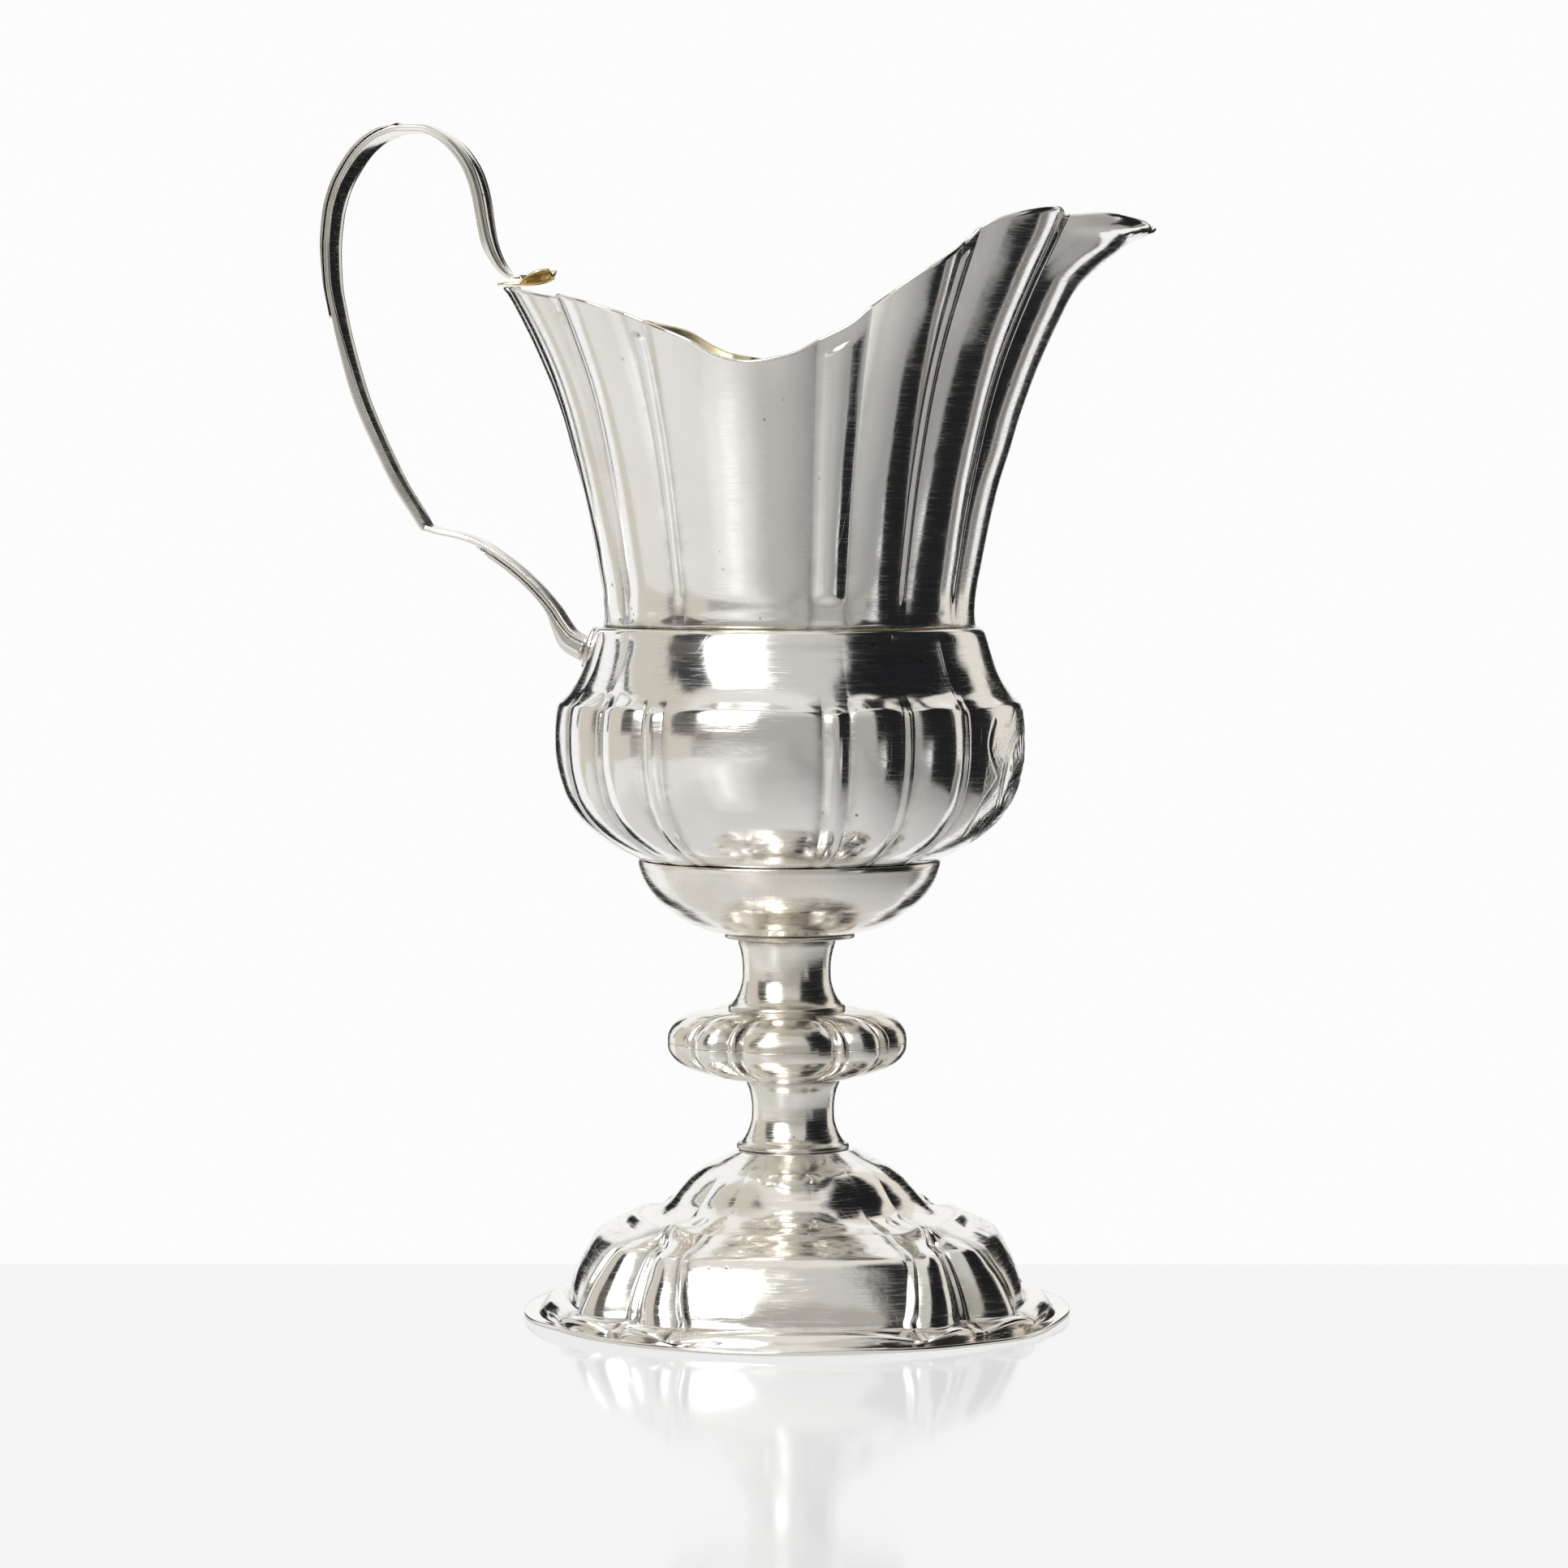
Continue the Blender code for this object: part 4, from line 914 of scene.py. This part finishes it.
def build_foot():
    """Soft bell over a ledge with pinched folds, gadroons, bossed skirt and a thin uneven flange."""
    halves = np.degrees(np.array(FOOT_RIB_HALVES) / FOOT_RIB_RADIUS)
    base_angle, bulge, bead, distance, _, width = ring_columns(FOOT_RIBS, halves, FOOT_COLUMNS)
    rows = dense_rows(FOOT_ROWS, FOOT_STEP)
    z0, crest, depth, rib, drop, fan = (rows[:, k : k + 1] for k in range(6))
    angle = fanned(base_angle[None, :], fan)
    bell = fade(z0, 23.6, 26.0)
    coarse = coarse_bulge(angle, (FOOT_FAN[1][1], FOOT_FAN[1][3]), BELL_POWER)
    eased = bulge * (1 - bell) + bell * coarse
    wide = (width > WIDE_LOBE)[None, :]
    z = z0 - drop * (1 - bulge) + LEDGE_RISE * wide * bulge * hump(crest - LEDGE_RADIUS, LEDGE_WIDTH)
    radius = crest - depth * (1 - eased) + FOOT_RIB_HEIGHT * rib * bead
    across = np.radians(np.abs(np.mod(angle + 45.0, 90.0) - 45.0))
    skirt = fade(z0, 24.5, 21.0) * fade(z0, 1.0, 5.0)
    radius = radius * (1 + PANEL_FLATNESS * skirt * flattened(across))
    ear = hump(np.mod(angle, 90.0) - 45.0, EAR_WIDTH) * hump(crest - EAR_RADIUS, EAR_DEPTH)
    turn = np.radians(base_angle)[None, :]
    edge = fade(crest, 60.5, 64.0)
    ragged = sum(size * np.sin(count * turn + phase) for size, count, phase in FLANGE_EDGE)
    radius = radius + EAR_REACH[0] * ear + edge * (ragged - FLANGE_TRIM)
    points = ring_points(radius, angle + STEM_TURN, z + EAR_REACH[1] * ear)
    wobble = unevenness(points, FOOT_WAVES) * fade(z0, 0.9, 8.0) * fade(z0, 38.9, 36.0)
    points += grid_normals(points) * wobble[..., None]
    lift = sum(size * (1 + np.sin(count * turn + phase)) for size, count, phase in FLANGE_LIFT)
    points[..., 2] += lift * edge
    grime = hump(distance, 1.5)[None, :] * 0.6 * np.clip(depth / 2, 0, 1) * fade(z0, 25.0, 22.0)
    grime = np.maximum(grime, 0.5 * hump(crest - 53.5, 0.5))
    grime = np.maximum(grime, 0.4 * hump(crest - 37.0, 0.6))
    surface = Surface()
    shift = node_centre("foot") + node_lift("foot", 0.0)
    add_foot_sheet(surface, points + shift, grime)
    surface.make("foot", (SILVER_FOOT,))


def add_foot_sheet(surface, outer, grime):
    """The foot's sheet: its inner face stays above the floor the flange rests on."""
    inner = outer - grid_normals(outer) * FOOT_SHEET
    inner[..., 2] = np.maximum(inner[..., 2], FLOOR_GAP)
    rows, count = outer.shape[:2]
    start = surface.add_grid(outer, grime=grime)
    inner_start = surface.add_points(inner, grime)
    last = (rows - 1) * count
    surface.add_faces(grid_faces(rows, count, inner_start)[:, ::-1])
    surface.add_faces(band_faces(start, inner_start, count))
    surface.add_faces(band_faces(inner_start + last, start + last, count))


# ---------------------------------------------------------------- handle
def strap_section(reeds, bow, lipped):
    """Closed section of a strap in shares of its width and thickness, and the lip at each point.

    The outer side is a flat oval with so many reeds cut in it; bow hollows the inner side a little.
    The lip is the share of EDGE_LIP by which a point of the inner side moves inwards.
    """
    turn = np.linspace(0.0, math.pi, 16 * reeds + 1)
    across = 0.5 * np.sign(np.cos(turn)) * np.abs(np.cos(turn)) ** 0.55
    off = -0.42 + 0.92 * np.sin(turn) ** 0.6
    cut = 0.13 * np.abs(np.cos(turn * reeds)) ** 3
    outer = [(a * (1 - 0.06 * c / 0.13), b - c * 0.9) for a, b, c in zip(across, off, cut)]
    share = np.linspace(-1.0, 1.0, 21)
    inner = [(0.46 * a, -0.54 + bow * (1 - a**2)) for a in share]
    lip = [0.0] * len(outer)
    lip += [(1.0 if a < 0 else 0.3) * (abs(a) ** 7 if abs(a) < 1 else 0.45) for a in share]
    return np.array([(a, -b) for a, b in outer + inner]), np.array(lip) * lipped


def path_frames(stations, normals, step=1.0):
    """Dense stations with the unit tangent and the stretch of the section at each."""
    dense = dense_rows(stations, step)
    ahead = np.gradient(dense[:, :2], axis=0)
    ahead /= np.linalg.norm(ahead, axis=1, keepdims=True)
    stretch = np.ones(len(dense))
    for index, normal in zip((0, -1), normals):
        if normal:
            stretch[index] = 1.0 / (ahead[index] @ np.array(normal))
            ahead[index] = normal
    return dense, ahead, stretch


def sweep(node, stations, section, seed, dark_span, normals=(None, None), ends=(0, 0)):
    """Strap swept along its line; its outside comes down to the ends over so many millimetres.

    Its inner face is drawn darker between the two lengths in dirty. normals mitre its ends.
    """
    shape, lip = section
    dense, ahead, stretch = path_frames(stations, normals)
    length = np.concatenate([[0], np.cumsum(np.hypot(*np.diff(dense[:, :2], axis=0).T))])
    taper = np.ones(len(dense))
    for distance, reach in zip((length, length[-1] - length), ends):
        if reach:
            taper *= THIN_END + (1 - THIN_END) * fade(distance, 0.0, reach)
    across, off = shape.T
    turned_in = EDGE_LIP * fade(length, 3.0, 14.0) * fade(length[-1] - length, 0.5, 4.0)
    lift = (0.5 + (off[None, :] - 0.5) * taper[:, None]) * (dense[:, 3] * stretch)[:, None]
    lift = lift + lip[None, :] * (dense[:, 3] * turned_in)[:, None]
    x = dense[:, 0:1] - ahead[:, 1:2] * lift
    z = dense[:, 1:2] + ahead[:, 0:1] * lift
    points = stacked(x, across[None, :] * dense[:, 2:3], z)
    line = stacked(dense[:, 0], 0.0, dense[:, 1])
    wobble = (waves(line, 22.0, seed) * 0.12)[:, None]
    points[..., 0] += wobble * ahead[:, 1:2]
    points[..., 2] -= wobble * ahead[:, 0:1]
    points[..., 1] += (waves(line, 40.0, seed + 1) * 0.2)[:, None]
    # The inner face is drawn darker over the given span of its length.
    inner = (off > 0.3)[None, :] * (1.0 - lip[None, :])
    grime = 0.12 + 0.85 * inner * fade(length, *dark_span)[:, None]
    surface = Surface()
    surface.add_bar(points + node_centre("base_cup"), grime)
    fix_normals(surface.make(node, (SILVER_HANDLE,)))


def fix_normals(obj):
    """Turns every face of a closed piece outwards."""
    work = bmesh.new()
    work.from_mesh(obj.data)
    bmesh.ops.recalc_face_normals(work, faces=work.faces)
    work.to_mesh(obj.data)
    work.free()


def offset_path(stations, span, thick, end_thick):
    """Line of a strip laid on the outside of a strap, a hair off it, thickening towards its end."""
    moved = []
    for i in range(span[0], span[1] + 1):
        x, z, width, under = stations[i]
        x0, z0 = stations[max(i - 1, 0)][:2]
        x1, z1 = stations[min(i + 1, len(stations) - 1)][:2]
        length = math.hypot(x1 - x0, z1 - z0)
        tx, tz = (x1 - x0) / length, (z1 - z0) / length
        strip = thick + (end_thick - thick) * float(fade(i, span[1] - 4, span[1]))
        lift = under / 2 + STRIP_GAP + strip / 2
        moved.append((x + tz * lift, z - tx * lift, width * STRIP_WIDTH_SHARE, strip))
    return moved


def build_handle():
    """Looped strap and lower scroll with their strips."""
    reeded, plain = strap_section(5, 0.12, True), strap_section(4, 0.05, False)
    sweep(
        "handle_strap", STRAP_PATH, reeded, 61,
        normals=(None, MITRE_NORMAL), dark_span=(95.0, 150.0),
    )
    strip = offset_path(STRAP_PATH, STRIP_SPAN, STRIP_THICK, STRIP_THICK)
    sweep(
        "handle_outer_strip", strip, plain, 61,
        ends=(4.0, 26.0), dark_span=(40.0, 90.0),
    )
    sweep(
        "handle_lower_strap", LOWER_PATH, reeded, 65,
        normals=(MITRE_NORMAL, SHOULDER_NORMAL), dark_span=(14.0, 26.0),
    )
    strip = offset_path(LOWER_PATH, LOWER_STRIP_SPAN, LOWER_STRIP_THICK, LOWER_STRIP_END)
    sweep(
        "handle_lower_strip", strip, plain, 65,
        normals=(None, SHOULDER_NORMAL), ends=(4.0, 0), dark_span=(10.0, 40.0),
    )


def build_tongue():
    """Gilt tongue on the rim that opens into a ridged trough."""
    rows = dense_rows(TONGUE, 0.4)
    x, z, half, rise = (rows[:, k : k + 1] for k in range(4))
    share = np.linspace(-1, 1, 25)[None, :]
    ripple = TONGUE_RIPPLE * np.cos(share * 3 * math.pi) * np.clip(rise / 2, 0, 1)
    lower = stacked(x, half * share, z + rise * np.abs(share) ** 2.2 + ripple)
    thick = TONGUE_THICK * (1 - 0.35 * np.abs(share) ** 4)
    upper = lower + stacked(0.0, -0.22 * np.sign(share) * np.abs(share) ** 3, thick)
    surface = Surface()
    ring = np.concatenate([lower, upper[:, ::-1]], 1)
    surface.add_bar(ring + node_centre("base_cup"), 0.06)
    fix_normals(surface.make("handle_tongue", (GILT,)))


def build_plate():
    """Shaped plate soldered to the shoulder."""
    rows = dense_rows(PLATE, 0.4)
    x, z, half = (rows[:, k : k + 1] for k in range(3))
    share = np.linspace(-1, 1, 17)[None, :]
    outer = stacked(x + 0.25 * share**2, half * share, z)
    inner = outer + np.array([PLATE_THICK, 0, -0.2])
    surface = Surface()
    ring = np.concatenate([outer, inner[:, ::-1]], 1)
    surface.add_bar(ring + node_centre("base_cup"), 0.4)
    fix_normals(surface.make("handle_foot_plate", (SILVER_HANDLE,)))


# ---------------------------------------------------------------- studio
def frame_vectors():
    """The vessel's axis on the table, the camera's right and the way from the camera to the back."""
    turn = math.radians(CAMERA_TURN)
    right = np.array([math.cos(turn), math.sin(turn), 0.0])
    back = np.array([-math.sin(turn), math.cos(turn), 0.0])
    return node_centre("base_cup"), right, back


def build_table():
    """Pale glossy table that ends a little behind the foot."""
    axis, right, back = frame_vectors()
    corners = [
        (-TABLE_LEFT, -TABLE_FRONT), (TABLE_RIGHT, -TABLE_FRONT),
        (TABLE_RIGHT, TABLE_BACK), (-TABLE_LEFT, TABLE_BACK),
    ]
    points = [tuple((axis + right * a + back * b) * MM) for a, b in corners]
    mesh = bpy.data.meshes.new("table")
    mesh.from_pydata(points, [], [(0, 1, 2, 3)])
    table = bpy.data.objects.new("table", mesh)
    bpy.context.scene.collection.objects.link(table)
    mesh.materials.append(table_material(axis, right, back))


def table_material(axis, right, back):
    """White acrylic: what the camera sees, and for the silver only a glow of painted light and painted
    shade.
    """
    material = bpy.data.materials.new("table_white")
    material.use_nodes = True
    nodes = Nodes(material.node_tree)
    tree = material.node_tree
    tree.nodes.remove(tree.nodes["Principled BSDF"])
    position = nodes.add("ShaderNodeTexCoord").outputs["Object"]
    from_axis = {0: position, 1: tuple(axis * MM)}
    place = nodes.add("ShaderNodeVectorMath", from_axis, operation="SUBTRACT").outputs[0]
    sideways = nodes.dot(place, right)
    azimuth = azimuth_of(nodes, sideways, nodes.dot(place, -back))
    away = nodes.add("ShaderNodeVectorMath", {0: place}, operation="LENGTH").outputs["Value"]
    specks = nodes.math("MULTIPLY", hairlines(nodes, place, (0, 0, 0.7), (1, 7, 1), 9.0, 0.004), 0.02)
    # Painted light and shade of the table, seen only in the silver: lighter near the foot and to the left,
    # darker further out and to the right.
    mirrored = nodes.mix(nodes.ramp(away, *FAR_SPAN), PAINTED_LIGHT_NEAR, PAINTED_LIGHT_FAR)
    mirrored = nodes.mix(nodes.ramp(sideways, *RIGHT_SPAN), mirrored, PAINTED_SHADE_RIGHT)
    mirrored = nodes.mix(nodes.ramp(sideways, *LEFT_SPAN), mirrored, PAINTED_LIGHT_LEFT)
    # Painted shade: a black patch on the table's right, seen only in the silver; no card is there.
    painted_shade = nodes.math("MULTIPLY", inside(nodes, azimuth, *PAINTED_SHADE_AZIMUTH), nodes.ramp(away, *PAINTED_SHADE_AWAY))
    mirrored = nodes.mix(painted_shade, mirrored, PAINTED_SHADE_BLACK)
    clean = nodes.mix(specks, TABLE_WHITE, SPECK_GREY)
    shown = nodes.add("ShaderNodeEmission", {"Color": clean})
    gloss = nodes.add("ShaderNodeBsdfGlossy", {"Color": TABLE_GLOSS, "Roughness": 0.09})
    seen = nodes.add("ShaderNodeAddShader", {0: shown.outputs[0], 1: gloss.outputs[0]})
    # The table glows with this painted light for the silver, though it is no lamp.
    painted_glow = nodes.add("ShaderNodeEmission", {"Color": mirrored})
    faint = nodes.add("ShaderNodeBsdfGlossy", {"Color": MIRRORED_GLOSS, "Roughness": 0.1})
    sent = nodes.add("ShaderNodeAddShader", {0: painted_glow.outputs[0], 1: faint.outputs[0]})
    camera = nodes.add("ShaderNodeLightPath").outputs["Is Camera Ray"]
    both = nodes.add("ShaderNodeMixShader", {0: camera, 1: sent.outputs[0], 2: seen.outputs[0]})
    tree.links.new(both.outputs[0], tree.nodes["Material Output"].inputs[0])
    return material


def azimuth_of(nodes, sideways, toward):
    """Degrees round from the camera towards its right."""
    return nodes.math("DEGREES", nodes.math("ARCTAN2", sideways, toward))


def inside(nodes, value, span, soft):
    """1 between both ends of a span, with soft edges."""
    low = nodes.ramp(value, span[0] - soft / 2, span[0] + soft / 2)
    high = nodes.ramp(value, span[1] - soft / 2, span[1] + soft / 2)
    return nodes.math("SUBTRACT", low, high)


def build_world():
    """The room: clean white to the camera, and to the silver a soft window and dark sides."""
    world = bpy.data.worlds.new("studio")
    bpy.context.scene.world = world
    world.use_nodes = True
    nodes = Nodes(world.node_tree)
    background = world.node_tree.nodes["Background"]
    direction = nodes.add("ShaderNodeTexCoord").outputs["Generated"]
    _, right, back = frame_vectors()
    azimuth = azimuth_of(nodes, nodes.dot(direction, right), nodes.dot(direction, -back))
    up = nodes.add("ShaderNodeSeparateXYZ", {0: direction}).outputs[2]
    elevation = nodes.math("DEGREES", nodes.math("ARCSINE", up))
    colour = ROOM_WHITE
    for span, height, soft, tone, strength in ROOM:
        upright = inside(nodes, elevation, height, soft)
        share = nodes.math("MULTIPLY", inside(nodes, azimuth, span, soft), upright)
        colour = nodes.mix(share, colour, (*[channel * strength for channel in tone], 1))
    camera = nodes.add("ShaderNodeLightPath").outputs["Is Camera Ray"]
    seen = nodes.mix(camera, colour, BACKDROP)
    world.node_tree.links.new(seen, background.inputs["Color"])
    background.inputs["Strength"].default_value = 1.0


def build_camera():
    """Camera a little above the pitcher's middle, turned towards the spout's side."""
    axis, _, back = frame_vectors()
    data = bpy.data.cameras.new("camera")
    data.lens = FOCAL_MM
    data.sensor_width = SENSOR_MM
    data.clip_start = 0.01
    camera = bpy.data.objects.new("camera", data)
    bpy.context.scene.collection.objects.link(camera)
    camera.location = (axis - back * CAMERA_DISTANCE + [0, 0, CAMERA_HEIGHT]) * MM
    turn = math.radians(CAMERA_TURN - CAMERA_ASIDE)
    camera.rotation_euler = (math.radians(90.0 - CAMERA_PITCH), 0.0, turn)
    bpy.context.scene.camera = camera


bpy.context.scene.view_settings.view_transform = "Standard"

build_upper_body()
build_belly_bowl()
build_cup()
build_ring("stem_collar", COLLAR_PROFILE, COLLAR_BORE, 41, (88.4,))
build_ring("upper_spool", UPPER_SPOOL, SPOOL_BORE, 42, (87.8, 71.6))
build_ring("lower_spool", LOWER_SPOOL, SPOOL_BORE, 43, (55.0, 39.5))
build_knop_half("knop_upper_half", KNOP_UPPER, 1.0, "knop_upper_skin")
build_knop_half("knop_lower_half", KNOP_LOWER, -1.0, "knop_lower_skin")
build_foot()
build_handle()
build_tongue()
build_plate()
for fastener in ("tie_rod", "foot_washer", "foot_nut"):
    fastener_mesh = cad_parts[fastener].data
    fastener_mesh.materials.clear()
    fastener_mesh.materials.append(PLAIN_METAL)
build_table()
build_world()
build_camera()
